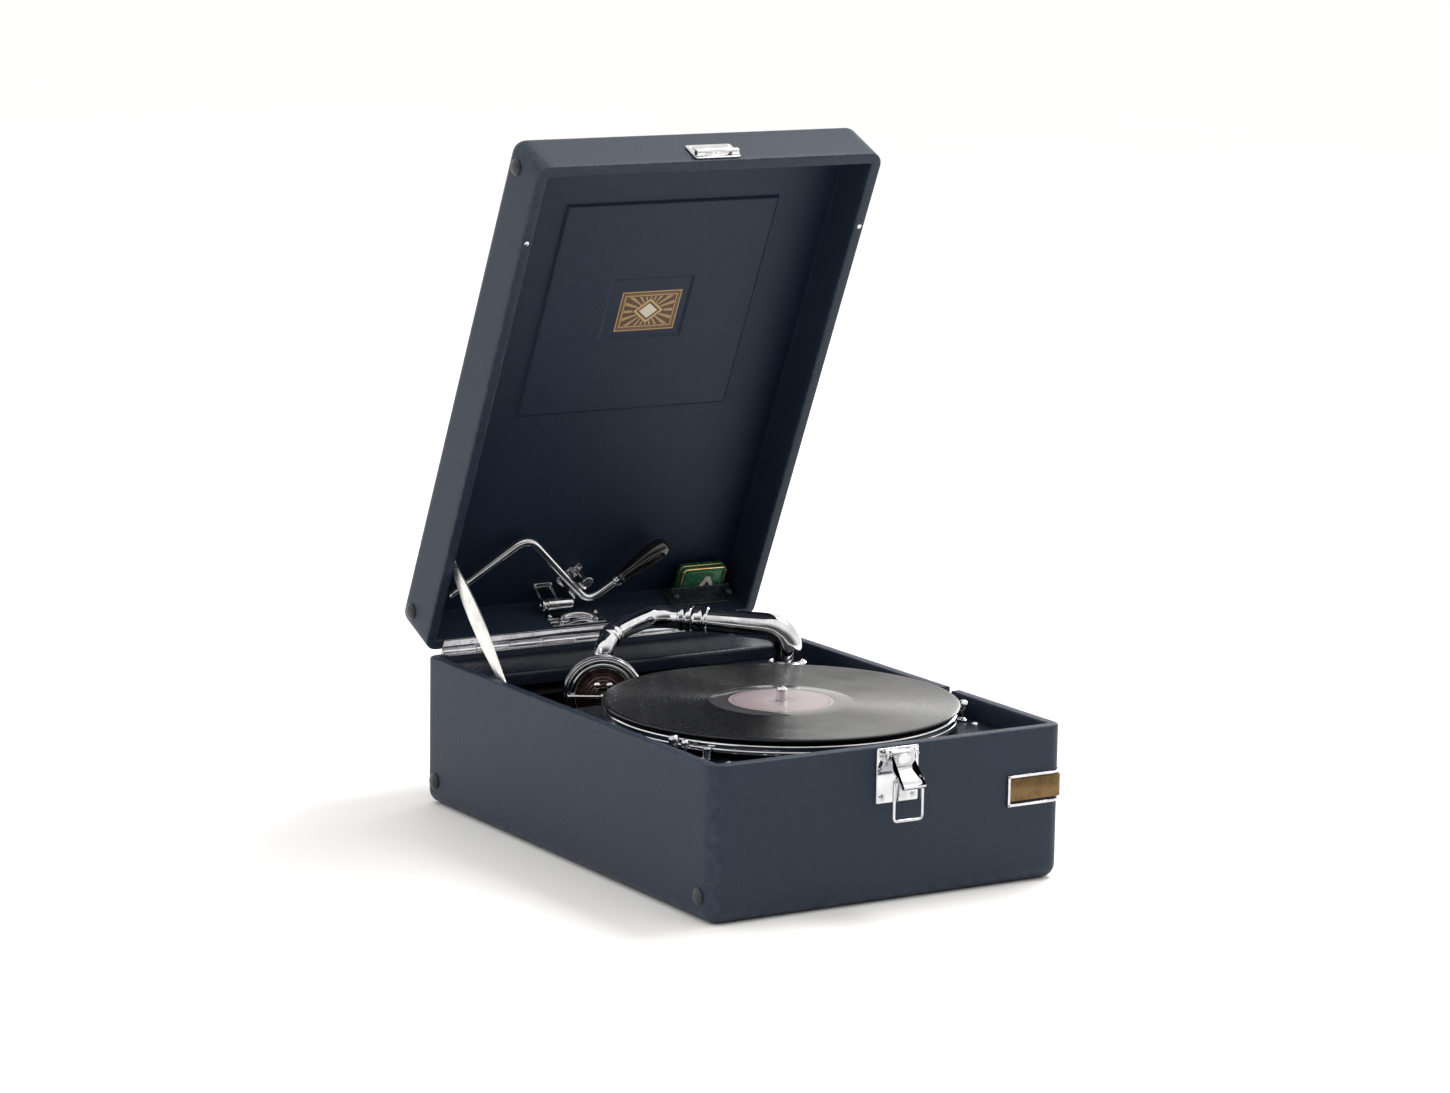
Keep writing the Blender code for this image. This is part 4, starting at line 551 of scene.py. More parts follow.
def relief(x, y, z, back):
    """A closed slab with z(x, y) on its face: the face, a flat grid at the back, and a border between."""
    face = np.pad(np.stack([x, y, z], -1), ((1, 1), (1, 1), (0, 0)), mode="edge")
    face[[0, -1], :, 2] = back
    face[:, [0, -1], 2] = back
    flat = np.stack([x, y, np.full_like(x, back)], -1)
    return [skin(face, around=False), skin(flat, around=False)]


def lines(low, high, count, edges, reach=2.2 * MM):
    crowd = [e + np.linspace(-reach, reach, 9) for e in edges]
    return np.unique(np.clip(np.concatenate([np.linspace(low, high, count), *crowd]), low, high).round(6))


CEILING = LID_TOP - 9.5 * MM
PANEL, PANEL_HALF = (-1.5 * MM, -63.5 * MM), (88.5 * MM, 88.5 * MM)
BED, BED_HALF = (-3 * MM, -63 * MM), (34 * MM, 25 * MM)
gx, gy = np.meshgrid(
    lines(-IN_X + 0.2 * MM, IN_X - 0.2 * MM, 20, [-0.090, 0.087, -0.037, 0.031]),
    lines(-IN_Y + 0.2 * MM, IN_Y - 0.2 * MM, 28, [-0.152, 0.025, -0.088, -0.038]), indexing="ij")
panel, bed = inside(gx, gy, PANEL, PANEL_HALF, 2.6 * MM), inside(gx, gy, BED, BED_HALF, 1.6 * MM)
drop = 0.6 * MM + 2.4 * MM * panel - 1.1 * MM * bed
piece("lid_lining", relief(gx, gy, CEILING - drop, CEILING + 0.3 * MM), LINING, "lid", (),
    sharp=60)

# %% Lid transfer
tx, ty = np.meshgrid(np.linspace(-0.026, 0.025, 150), np.linspace(-0.077, -0.043, 100), indexing="ij")
u, v = (tx + 0.0005) / 0.0255, (ty + 0.060) / 0.017
rim_gap = np.minimum(0.0255 * (1 - np.abs(u)), 0.017 * (1 - np.abs(v)))
lozenge = np.abs(u) / 0.42 + np.abs(v) / 0.52
rays = (np.cos(20 * np.arctan2(v * 0.017, u * 0.0255)) > 0.35) & (lozenge > 1.25) & (rim_gap > 4.9 * MM)
framing = ((rim_gap > 0.5 * MM) & (rim_gap < 1.3 * MM)) | ((rim_gap > 3.6 * MM) & (rim_gap < 4.3 * MM))
dots = (np.abs(np.sin(tx * 2 * math.pi / 0.0034)) > 0.86) & (np.abs(np.sin(ty * 2 * math.pi / 0.0034)) > 0.3)
beads = dots & (rim_gap > 1.8 * MM) & (rim_gap < 3.1 * MM)
gilt = np.where(framing | (np.abs(lozenge - 1.05) < 0.13), 1.0, np.where(rays, 0.75, np.where(beads, 0.55, 0.0)))
cream = (lozenge < 0.72).astype(float)
made = piece("lid_transfer", relief(tx, ty, CEILING - 1.95 * MM - 0.12 * MM * np.maximum(gilt, cream), CEILING
    - 1.5 * MM), CLOTH, "lid", (), sharp=60)
spots = np.empty(len(made.data.vertices) * 3)
made.data.vertices.foreach_get("co", spots)
shut = (spots.reshape(-1, 3) - HINGE) @ np.array(Matrix.Rotation(-LID_OPEN, 3, "X")) + HINGE
column = np.clip(np.round((shut[:, 0] + 0.026) / 0.051 * 149), 0, 149).astype(int)
line = np.clip(np.round((shut[:, 1] + 0.077) / 0.034 * 99), 0, 99).astype(int)
for label, values in (("gilt", gilt), ("cream", cream)):
    made.data.attributes.new(label, "FLOAT", "POINT").data.foreach_set("value", values[column, line])
TRANSFER, tree, shader, where = start("lid transfer")
field = blend_colour(tree, placed(tree, GRAIN, Vector=where, Scale=2600.0).outputs["Shade"], (0.05, 0.022, 0.012),
    (0.13, 0.06, 0.03))
field = blend_colour(tree, node(tree, "Attribute", {"attribute_name": "gilt"}).outputs["Fac"], field, (0.5, 0.32, 0.13))
field = blend_colour(tree, node(tree, "Attribute", {"attribute_name": "cream"}).outputs["Fac"], field,
    (0.66, 0.60, 0.46))
connect(tree, shader, field, between(tree, node(tree, "Attribute", {"attribute_name": "gilt"}).outputs["Fac"], 0.5,
    0.3))
made.data.materials[0] = TRANSFER

# %% [markdown]
# Domed studs guard the side that the closed case is stood on, and a long hinge with nine knuckles joins base and
# lid. Alternate knuckles belong to the base and to the lid, so they are two pieces on two bodies.

# %% Studs and rim pins
dome = np.linspace(0, math.pi / 2, 8)
stud_outline = np.concatenate([[(0, 0), (6.0 * MM, 0), (6.0 * MM, 0.5 * MM), (5.7 * MM, 0.8 * MM)],
                               np.stack([5.3 * MM * np.cos(dome), 0.9 * MM + 2.05 * MM * np.sin(dome)], 1)])
for name in ("base_side_stud_front", "base_side_stud_rear", "lid_side_stud_front", "lid_side_stud_rear"):
    low, high = (np.array(c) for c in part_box(name))
    at = np.array([high[0], *(low[1:] + high[1:]) / 2])
    body = "case" if name.startswith("base") else "lid"
    piece(name.replace("side_stud", "stud_dome"), [lathe(stud_outline, at, (-1, 0, 0), 40)], STUD, body, [name],
        lid=False)
for side in (-1, 1):
    at = np.array([side * (case_x - 4 * MM), -0.144, rim_z + 0.5 * MM])
    piece("rim_pin_" + ("left" if side < 0 else "right"), [lathe([(0, -MM), (1.8 * MM, -MM), (1.8 * MM, 0.05 * MM),
        (1.3 * MM, 0.28 * MM), (0, 0.38 * MM)], at, (0, 0, -1), 20)], CHROME, "lid")

# %% Hinge
KNUCKLES, KNUCKLE_R, LEAF_T = 9, 2.3 * MM, 0.8 * MM
pitch = 2 * HINGE_HALF / KNUCKLES
leaf_y = (IN_Y + 0.2 * MM, HINGE[1] - KNUCKLE_R - 0.2 * MM)


def hinge_leaf(first, low):
    """The flat leaf, with a rolled knuckle and its tongue at every other pitch."""
    y_mid, y_half = sum(leaf_y) / 2, (leaf_y[1] - leaf_y[0]) / 2
    made = [slab(block(HINGE_HALF - 0.1 * MM, y_half, 0.5 * MM, (0, y_mid)), low, low + LEAF_T, 0.2 * MM)]
    for k in range(first, KNUCKLES, 2):
        start_x = -HINGE_HALF + k * pitch + 0.15 * MM
        length = pitch - 0.3 * MM
        made.append(rod(KNUCKLE_R, 0, length, (start_x, HINGE[1], HINGE[2]), (1, 0, 0), 28, 0.5 * MM))
        made.append(slab(block(length / 2, 1.6 * MM, 0.3 * MM, (start_x + length / 2, HINGE[1] - 2.2 * MM)), low,
            low + LEAF_T, 0.2 * MM))
    return made


screws = [screw_head((x, leaf_y[0] + 3.6 * MM, rim_z - 0.75 * MM), (0, 0, 1), 2.3 * MM, 0.5 + x * 40)
    for x in (-0.112, -0.068, -0.024, 0.024, 0.068, 0.112)]
piece("hinge_leaf_on_base", hinge_leaf(0, rim_z - LEAF_T) + screws, CHROME, "case", ["hinge_base_leaf"])
screws = [screw_head((x, leaf_y[0] + 3.6 * MM, rim_z + 1.2 * MM), (0, 0, -1), 2.2 * MM, 0.9 + x * 60)
    for x in (-0.104, -0.052, 0.0, 0.052, 0.104)]
piece("hinge_leaf_on_lid", hinge_leaf(1, rim_z + 0.5 * MM) + screws, CHROME, "lid", ["hinge_lid_leaf"])
piece("hinge_pin_rod", [rod(MM, -HINGE_HALF, HINGE_HALF, HINGE, (1, 0, 0), 20, 0.4 * MM)], CHROME, "case",
    ["hinge_pin"])

# %% [markdown]
# The deck is a covered board with a rail behind the horn's mouth. The rail is one rounded section drawn from wall
# to wall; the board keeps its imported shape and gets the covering, its screws and a small fitting at the front.

# %% Deck
(rail_x0, rail_y0, rail_z0), (rail_x1, rail_y1, rail_z1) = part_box("rear_deck_rail")
section = soften([(rail_y0, rail_z0), (rail_y0, rail_z1), (rail_y1, rail_z1), (rail_y1, rail_z0)],
                 [0.3 * MM, 3.2 * MM, 0.4 * MM, 0.3 * MM], 7, closed=True)
piece("deck_rail", [slab(section, rail_x0, rail_x1, 0.2 * MM, **SIDEWAYS)], DECK, "case", ["rear_deck_rail"])
deck_screws = [screw_head((x * MM, y * MM, BOARD_TOP), (0, 0, 1), 2.6 * MM, turn) for x, y, turn in
               ((-93, -144, 0.4), (127, -120, 1.3), (-125, -60, 2.0), (125, 20, 0.2), (70, 128, 0.8), (126, 130, 2.3))]
piece("deck_screws", deck_screws, SATIN, "case")
fitting = [plate((9, 3.2, 3), (0, 1.2, 0.35), (0, 0), (-78 * MM, -171 * MM, BOARD_TOP), (0.8, -0.6, 0), (0.6, 0.8, 0)),
           screw_head((-82 * MM, -168 * MM, BOARD_TOP + 1.2 * MM), (0, 0, 1), 1.8 * MM, 0.2),
           screw_head((-74 * MM, -174 * MM, BOARD_TOP + 1.2 * MM), (0, 0, 1), 1.8 * MM, 1.2)]
piece("deck_fitting", fitting, CHROME, "case")

# %% [markdown]
# The front carries the latch. A plate with two lugs holds the lever, a sheet bent to an S, and a wire bail hangs
# from the lever and catches the hook on the lid. Each is a flat outline given a thickness, or a tube.

# %% Latch
FACE = -case_y - 0.3 * MM
plate_low, plate_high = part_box("latch_lever")
LATCH_X = (plate_low[0] + plate_high[0]) / 2
AXLE = (FACE - 5.3 * MM, 104.6 * MM)
BAIL = (FACE - 14.9 * MM, 89.4 * MM)
parts = [plate((17, 19.2, 1.2), (0, 1.2, 0.35), (LATCH_X, 89.7 * MM), (0, FACE, 0), **FACING)]
for side in (-1, 1):
    cheek = soften([(FACE - MM, 99 * MM), (FACE - 7 * MM, 101 * MM), (FACE - 7 * MM, 107.5 * MM),
        (FACE - MM, 107.5 * MM)], 1.8 * MM, 5, closed=True)
    parts.append(slab(cheek, LATCH_X + side * 11.5 * MM - 0.8 * MM, LATCH_X + side * 11.5 * MM + 0.8 * MM, 0.25 * MM,
        **SIDEWAYS))
    parts.append(rod(2.3 * MM, 0, 0.9 * MM, (LATCH_X + side * 12.3 * MM, *AXLE), (side, 0, 0), 20, 0.5 * MM))
parts.append(rod(1.3 * MM, -11 * MM, 11 * MM, (LATCH_X, *AXLE), (1, 0, 0), 16))
parts += [screw_head((x * MM, FACE - 1.2 * MM, z * MM), (0, -1, 0), 2.4 * MM, turn) for x, z, turn in
          ((-9.6, 103, 0.3), (16.6, 103, 1.5), (-9.2, 74.6, 0.9), (16.2, 74.4, 2.2))]
piece("latch_backplate", parts, CHROME, "case", ["latch_plate"])
sheet = mm([(-1.9, 106.0), (-1.6, 98.5), (-6.2, 94.3), (-16.2, 87.6), (-17.2, 84.5), (-20.2, 82.6), (-23.5, 84.6),
    (-23.9, 86.3), (-21.1, 85.6), (-19.3, 88.3), (-9.3, 95.6), (-8.7, 107.0), (-6.5, 108.4),
    (-3.7, 108.0)]) + (FACE, 0)
parts = [slab(soften(sheet, 1.6 * MM, 4, closed=True), LATCH_X - 9 * MM, LATCH_X + 9 * MM, 0.7 * MM, **SIDEWAYS)]
parts.append(plate((5.2, 3.4, 3.2), (8.7, 9.4, 0.3), (LATCH_X, 102 * MM), (0, FACE, 0), **FACING))
parts += [rod(2.1 * MM, 0, 1.4 * MM, (LATCH_X + s * 8.6 * MM, *BAIL), (s, 0, 0), 20, 0.5 * MM) for s in (-1, 1)]
piece("latch_lever_sheet", parts, CHROME, "lever", ["latch_lever"])
loop = np.array([(LATCH_X + 7 * MM, BAIL[1]), (LATCH_X + 11.5 * MM, BAIL[1]), (LATCH_X + 11.5 * MM, 60.5 * MM),
    (LATCH_X - 11.5 * MM, 60.5 * MM), (LATCH_X - 11.5 * MM, BAIL[1]), (LATCH_X - 7 * MM, BAIL[1])])
wire = arc_path(np.stack([loop[:, 0], np.full(6, BAIL[0]), loop[:, 1]], 1), 3.2 * MM, 7)
piece("latch_bail_wire", [tube(wire, 1.1 * MM, 16, up=(0, 1, 0), ends=0.6)], CHROME, "bail", ["latch_bail"])

# %% Hook on the lid
hook = [plate((19, 9, 2.4), (0, 1.3, 0.4), (LATCH_X, rim_z + 12 * MM), (0, FACE, 0), **FACING)]
hook.append(plate((14.5, 2.6, 1.2), (1.2, 2.1, 0.4), (LATCH_X, rim_z + 15.5 * MM), (0, FACE, 0), **FACING))
for side in (-1, 1):
    hook.append(lathe(soften([(0, -3 * MM), (2.4 * MM, -3 * MM), (2.4 * MM, 3 * MM), (0, 3 * MM)], 0.7 * MM, 5),
        (LATCH_X + side * 14.5 * MM, FACE - 3.1 * MM, rim_z + 7 * MM), (1, 0, 0), 24))
    hook.append(slab(block(3 * MM, 1.6 * MM, 0.5 * MM, (LATCH_X + side * 14.5 * MM, FACE - 1.8 * MM)),
        rim_z + 4.4 * MM, rim_z + 9.4 * MM, 0.3 * MM))
    hook.append(screw_head((LATCH_X + side * 16 * MM, FACE - 1.3 * MM, rim_z + 18 * MM), (0, -1, 0), 1.5 * MM, 0.7))
hook.append(rod(1.4 * MM, -14 * MM, 14 * MM, (LATCH_X, FACE - 4 * MM, rim_z + 7 * MM), (1, 0, 0), 16))
piece("latch_hook_plate", hook, CHROME, "lid", ["lid_hook"])

# %% [markdown]
# A quarter-round tray for needles swings out of the front right corner. Its walls are the same outline at ten
# heights and insets, and a plated wire frame runs round the corner above and below it.

# %% Needle tray and its frame
PIVOT = (135 * MM, -197.5 * MM)
REACH = 7.5 * MM


def tray_outline(radius, out):
    """Square at the case's corner and a quarter circle of the given radius on the inner side."""
    a = np.linspace(math.pi / 2, math.pi, 18)
    inner = arc(a, radius, PIVOT)
    c = np.linspace(-math.pi / 2, 0, 7)
    corner = arc(c, 3.5 * MM, (PIVOT[0] + out - 3.5 * MM, PIVOT[1] - out + 3.5 * MM))
    return np.concatenate([corner, [(PIVOT[0] + out, PIVOT[1] + radius * 0.985)], inner,
        [(PIVOT[0] - radius * 0.985, PIVOT[1] - out)]])


z0, z1 = tray_low[2], tray_high[2]
rows = [(0.6, z0), (0.15, z0 + 0.15 * MM), (0, z0 + 0.6 * MM), (0, z1 - 0.4 * MM), (0.3, z1), (1.1, z1),
    (1.4, z1 - 0.4 * MM), (1.4, z0 + 2.2 * MM), (2.0, z0 + 1.5 * MM), (4.0, z0 + 1.4 * MM)]
tray = np.stack([np.column_stack([tray_outline(38 * MM - inset * MM, REACH - inset * MM), np.full(27, z)]) for inset,
    z in rows])
piece("needle_tray_shell", [skin(tray)], BRONZE, "tray", ["needle_tray"])
left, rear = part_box("needle_box_frame")[0][0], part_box("needle_box_frame")[1][1]
a = np.linspace(-math.pi / 2, 0, 9)
centre = (case_x - CORNER_R, -case_y + CORNER_R)


def frame_line(gap):
    bend = arc(a, CORNER_R + gap, centre)
    return np.concatenate([[(left, -case_y - gap)], bend, [(case_x + gap, rear)]])


outline = np.concatenate([frame_line(0.3 * MM), frame_line(1.8 * MM)[::-1]])
parts = [slab(outline, low, low + 1.9 * MM, 0.3 * MM) for low in (z0 - 3.1 * MM, z1 + 1.2 * MM)]
parts.append(plate((0.95, 10.8, 0.4), (0.3, 1.8, 0.3), (left + 0.95 * MM, (z0 + z1) / 2), (0, -case_y, 0), **FACING))
parts.append(plate((0.95, 10.8, 0.4), (0.3, 1.8, 0.3), (rear - 0.95 * MM, (z0 + z1) / 2), (case_x, 0, 0), **SIDEWAYS))
piece("needle_box_wire", parts, CHROME, "case", ["needle_box_frame"])

# %% [markdown]
# The carrying handle hangs on the right wall between two brackets: a leather roll, thicker in the middle, with a
# stitched seam along its outside. The winding hole's bush is on the same wall.

# %% Handle and winding bush
HANDLE_X, HANDLE_Z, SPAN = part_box("handle_bracket_front")[0][0] + 6 * MM, 80 * MM, 58 * MM
knots = mm([(-58, -3), (-57, -14), (-50, -27), (-36, -32.5), (-12, -33.5), (12, -33.5), (36, -32.5), (50, -27),
    (57, -14), (58, -3)])
path = smooth_path(np.column_stack([np.full(10, HANDLE_X), knots[:, 0], HANDLE_Z + knots[:, 1]]), 7)
t = np.linspace(0, 1, len(path))
thick = (3.3 + 3.0 * np.sin(math.pi * t) ** 0.6) * MM
parts = [tube(path, thick, 28, up=(1, 0, 0))]
parts += [lathe(soften([(2.1 * MM, -4.8 * MM), (4.4 * MM, -4.8 * MM), (4.4 * MM, 4.8 * MM), (2.1 * MM, 4.8 * MM)],
    0.8 * MM, 4, closed=True), (HANDLE_X, s * SPAN, HANDLE_Z), (0, 1, 0), 28, bored=True) for s in (-1, 1)]
piece("handle_roll", parts, leathercloth("navy handle hide", (0.010, 0.017, 0.03), (0.022, 0.034, 0.055),
    (0.1, 0.12, 0.15), 700.0, depth=0.0002), "handle", ["carrying_handle"])
at = np.interp(np.linspace(0.1, 0.9, 44), t, np.arange(len(path)))
spot = np.stack([np.interp(at, np.arange(len(path)), path[:, k]) for k in range(3)], 1)
bulge = np.interp(at, np.arange(len(path)), thick)
heading = unit(np.gradient(spot, axis=0))
out = spot + np.array([1.0, 0, 0]) * (bulge[:, None] - 0.15 * MM)
stitches = [tube(np.stack([p - h * 1.1 * MM, p - h * 0.4 * MM + (0.25 * MM, 0, 0), p + h * 0.4 * MM
    + (0.25 * MM, 0, 0), p + h * 1.1 * MM]), 0.32 * MM, 6, up=(1, 0, 0)) for p, h in zip(out, heading)]
piece("handle_stitches", stitches, leathercloth("waxed thread", (0.02, 0.03, 0.045), (0.05, 0.06, 0.08),
    (0.2, 0.2, 0.22), 4000.0), "handle", ())
for name, s in (("front", -1), ("rear", 1)):
    wall_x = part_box("handle_bracket_" + name)[0][0]
    parts = [plate((11, 10, 2.5), (0, 1.4, 0.4), (s * SPAN, HANDLE_Z + MM), (wall_x, 0, 0), **SIDEWAYS)]
    for lug in (-6.6, 6.6):
        ear = soften([(wall_x + MM, HANDLE_Z - 3 * MM), (HANDLE_X + 2.4 * MM, HANDLE_Z - 3 * MM),
            (HANDLE_X + 2.4 * MM, HANDLE_Z + 3 * MM), (wall_x + MM, HANDLE_Z + 3 * MM)],
            [0.3 * MM, 2.6 * MM, 2.6 * MM, 0.3 * MM], 6, closed=True)
        parts.append(slab(ear, -(s * SPAN + lug * MM) - 1.1 * MM, -(s * SPAN + lug * MM) + 1.1 * MM, 0.3 * MM,
            u=(1, 0, 0), v=(0, 0, 1)))
        parts.append(screw_head((wall_x + 1.4 * MM, s * SPAN + lug * 1.2 * MM, HANDLE_Z + 8 * MM), (1, 0, 0),
            1.8 * MM, lug))
    parts.append(rod(1.7 * MM, -6.6 * MM, 6.6 * MM, (HANDLE_X, s * SPAN, HANDLE_Z), (0, 1, 0), 16))
    piece("handle_bracket_plate_" + name, parts, CHROME, "case", ["handle_bracket_" + name])
bush = soften(mm([(4.1, -9.5), (6.6, -9.5), (6.6, 0.3), (11, 0.3), (11, 1.4), (8, 2.6), (4.1, 2.6)]), 0.5 * MM, 4,
    closed=True)
piece("winding_bush_ring", [lathe(bush, (case_x, bush_y, bush_z), (1, 0, 0), 40, bored=True)]
    + [screw_head((case_x + 1.5 * MM, bush_y + 9 * MM * math.cos(q), bush_z + 9 * MM * math.sin(q)), (1, 0, 0),
    1.3 * MM, q) for q in (0.5, 2.6, 4.7)], CHROME, "case", ["winding_bush"])

# %% [markdown]
# Turntable, felt and record are turned shapes. The record is pressed shellac: a bead at the edge, a band of
# grooves, a smooth run-out and a paper label. Inside the groove band the colour is a painted reflection: the run-out
# and the land under the label are painted a light grey instead of the black of the grooves. Grooves are too fine to
# model, so the material stretches its highlights across them, along a direction stored in a UV map: u is the
# distance from the centre.

# %% Turntable and felt
turn_low, turn_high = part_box("turntable")
rim_r, low_z = (turn_high[0] - turn_low[0]) / 2, turn_low[2]
ring = soften(mm([(3.9, 1), (9, 1), (9, 6.4), (rim_r / MM - 3, 6.4), (rim_r / MM - 1.6, 5), (rim_r / MM - 1.6, 0.3),
    (rim_r / MM - 1.2, 0), (rim_r / MM - 0.4, 0), (rim_r / MM, 0.6), (rim_r / MM, 2.4), (rim_r / MM - 0.5, 2.8),
    (rim_r / MM - 0.5, 3.3), (rim_r / MM, 3.7), (rim_r / MM, 6.4), (rim_r / MM - 1.7, 8), (3.9, 8)]), 0.7 * MM, 4,
    closed=True)
piece("platter_rim", [lathe(ring + (0, low_z), CENTRE, segments=160, bored=True)], CHROME, "platter", ["turntable"])
felt_low, felt_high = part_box("turntable_mat")
felt = soften([(3.9 * MM, felt_low[2]), (felt_high[0] - CENTRE[0], felt_low[2]),
    (felt_high[0] - CENTRE[0], felt_high[2]), (3.9 * MM, felt_high[2])], 0.5 * MM, 4, closed=True)
piece("platter_felt", [lathe(felt, CENTRE, segments=128, bored=True)], FELT, "platter", ["turntable_mat"])

# %% Record
DISC_R, DISC_TOP, DISC_LOW = (disc_high[0] - disc_low[0]) / 2, disc_high[2], disc_low[2]
face = mm([(3.8, -0.1), (37.6, -0.1), (38.6, 0.0), (40, -0.05), (50.2, -0.05), (50.6, -0.16), (52, -0.2),
    (122.2, -0.2), (122.8, -0.12), (125.6, -0.02), (126.6, -0.25), (127.0, -0.8)])
face[-1, 0] = DISC_R
flip = face[::-1] * (1, -1)
disc = np.concatenate([face + (0, DISC_TOP), flip + (0, DISC_LOW)])
record = piece("record_disc", [lathe(disc, CENTRE, segments=256, bored=True)], CLOTH, "record", ["record"])


def polar_map(made):
    """A UV map with u = distance from the centre and v = angle, and no face astride the seam."""
    mesh = made.data
    spots = np.empty(len(mesh.vertices) * 3)
    mesh.vertices.foreach_get("co", spots)
    corner = np.empty(len(mesh.loops), int)
    mesh.loops.foreach_get("vertex_index", corner)
    flat = (spots.reshape(-1, 3) - CENTRE)[corner][:, :2]
    count = np.empty(len(mesh.polygons), int)
    mesh.polygons.foreach_get("loop_total", count)
    which = np.repeat(np.arange(len(count)), count)
    middle = np.stack([np.bincount(which, flat[:, k]) / count for k in range(2)], 1)[which]
    turn = np.arctan2(middle[:, 1], middle[:, 0])
    slip = np.arctan2(flat[:, 1], flat[:, 0]) - turn
    angle = turn + (slip + math.pi) % (2 * math.pi) - math.pi
    made.data.uv_layers.new(name="polar").data.foreach_set("uv",
        np.stack([np.hypot(*flat.T) * 8, angle / 6.3], 1).ravel())



def from_centre(tree, where):
    """Distance from the record's axis."""
    off = node(tree, "VectorMath", {"operation": "SUBTRACT"}, i0=where, i1=tuple(CENTRE)).outputs[0]
    level = node(tree, "VectorMath", {"operation": "MULTIPLY"}, i0=off, i1=(1, 1, 0)).outputs[0]
    return node(tree, "VectorMath", {"operation": "LENGTH"}, i0=level).outputs["Value"]


polar_map(record)
SHELLAC, tree, shader, where = start("pressed shellac", Anisotropic=0.93, Specular_IOR_Level=0.5)
radius = from_centre(tree, where)
bands = node(tree, "TexNoise", {"noise_dimensions": "1D"}, W=radius, Scale=420.0, Detail=5.0).outputs[0]
band_vs_painted_runout = node(tree, "MapRange", {"interpolation_type": "SMOOTHSTEP"}, i0=radius, i1=0.0500, i2=0.0520).outputs[0]
turns = maths(tree, "SINE", maths(tree, "MULTIPLY", radius, 2 * math.pi / (0.9 * MM)))
# Painted reflection: where the mask is 0, on the run-out and the land under the label, the shellac is painted a light
# grey (0.075) instead of black.
tone = blend_colour(tree, band_vs_painted_runout, (0.075, 0.072, 0.074), blend_colour(tree, bands, (0.004, 0.004, 0.0045),
    (0.012, 0.012, 0.0125)))
marks = placed(tree, MARKS, Vector=where, Scale=26.0)
dull = maths(tree, "ADD", maths(tree, "MULTIPLY", bands, 0.12), maths(tree, "MULTIPLY", marks.outputs["Marks"], 0.08))
connect(tree, shader, tone, maths(tree, "ADD", maths(tree, "MULTIPLY", band_vs_painted_runout, 0.17), dull),
    maths(tree, "MULTIPLY", turns, band_vs_painted_runout), 0.000001, 0.1)
tree.links.new(node(tree, "Tangent", {"direction_type": "UV_MAP", "uv_map": "polar"}).outputs[0],
    shader.inputs["Tangent"])
record.data.materials[0] = SHELLAC

# %% Label
paper = mm([(3.9, 0.0), (4.2, 0.05), (37.0, 0.05), (37.4, 0.0), (37.4, -0.3), (3.9, -0.3)]) + (0, DISC_TOP - 0.05 * MM)
LABEL, tree, shader, where = start("label paper", Specular_IOR_Level=0.6)
radius = from_centre(tree, where)
ramp = tree.nodes.new("ShaderNodeValToRGB")
ramp.color_ramp.interpolation = "CONSTANT"
for position, tone in ((0.0, 0.0), (0.235, 0.0), (0.24, 1.0), (0.25, 0.0), (0.62, 0.6), (0.63, 0.0), (0.90, 1.0),
        (0.915, 0.0), (0.93, 0.8), (0.94, 0.0)):
    stop = ramp.color_ramp.elements.new(position)
    stop.color = (tone, tone, tone, 1)
tree.links.new(maths(tree, "DIVIDE", radius, 0.0374), ramp.inputs[0])
grain = placed(tree, GRAIN, Vector=where, Scale=1800.0)
paper_tone = blend_colour(tree, grain.outputs["Shade"], (0.30, 0.235, 0.255), (0.40, 0.33, 0.35))
connect(tree, shader, blend_colour(tree, ramp.outputs[0], paper_tone, (0.16, 0.09, 0.11)),
    between(tree, grain.outputs["Shade"], 0.22, 0.4), grain.outputs["Height"], 0.00003)
piece("record_label", [lathe(paper, CENTRE, segments=96, bored=True)], LABEL, "record", ())

# %% [markdown]
# Speed regulator and brake each end in a polished ball on a post through the deck. A ball is the profile
# r = R cos a, h = R sin a, run on from the post's neck.

# %% Ball posts
def ball_post(at_x, at_y, at_z, post, ball, base_z):
    a = np.linspace(math.radians(-62), math.pi / 2, 14)
    foot = np.array([(0, base_z), (post * 2.3, base_z), (post * 2.3, base_z + 1.1 * MM),
        (post * 1.5, base_z + 1.8 * MM), (post, base_z + 2.4 * MM), (post, at_z - ball * 1.2)])
    return lathe(np.concatenate([soften(foot, 0.4 * MM, 3), arc(a, ball, (0, at_z))]), (at_x, at_y, 0), segments=32)


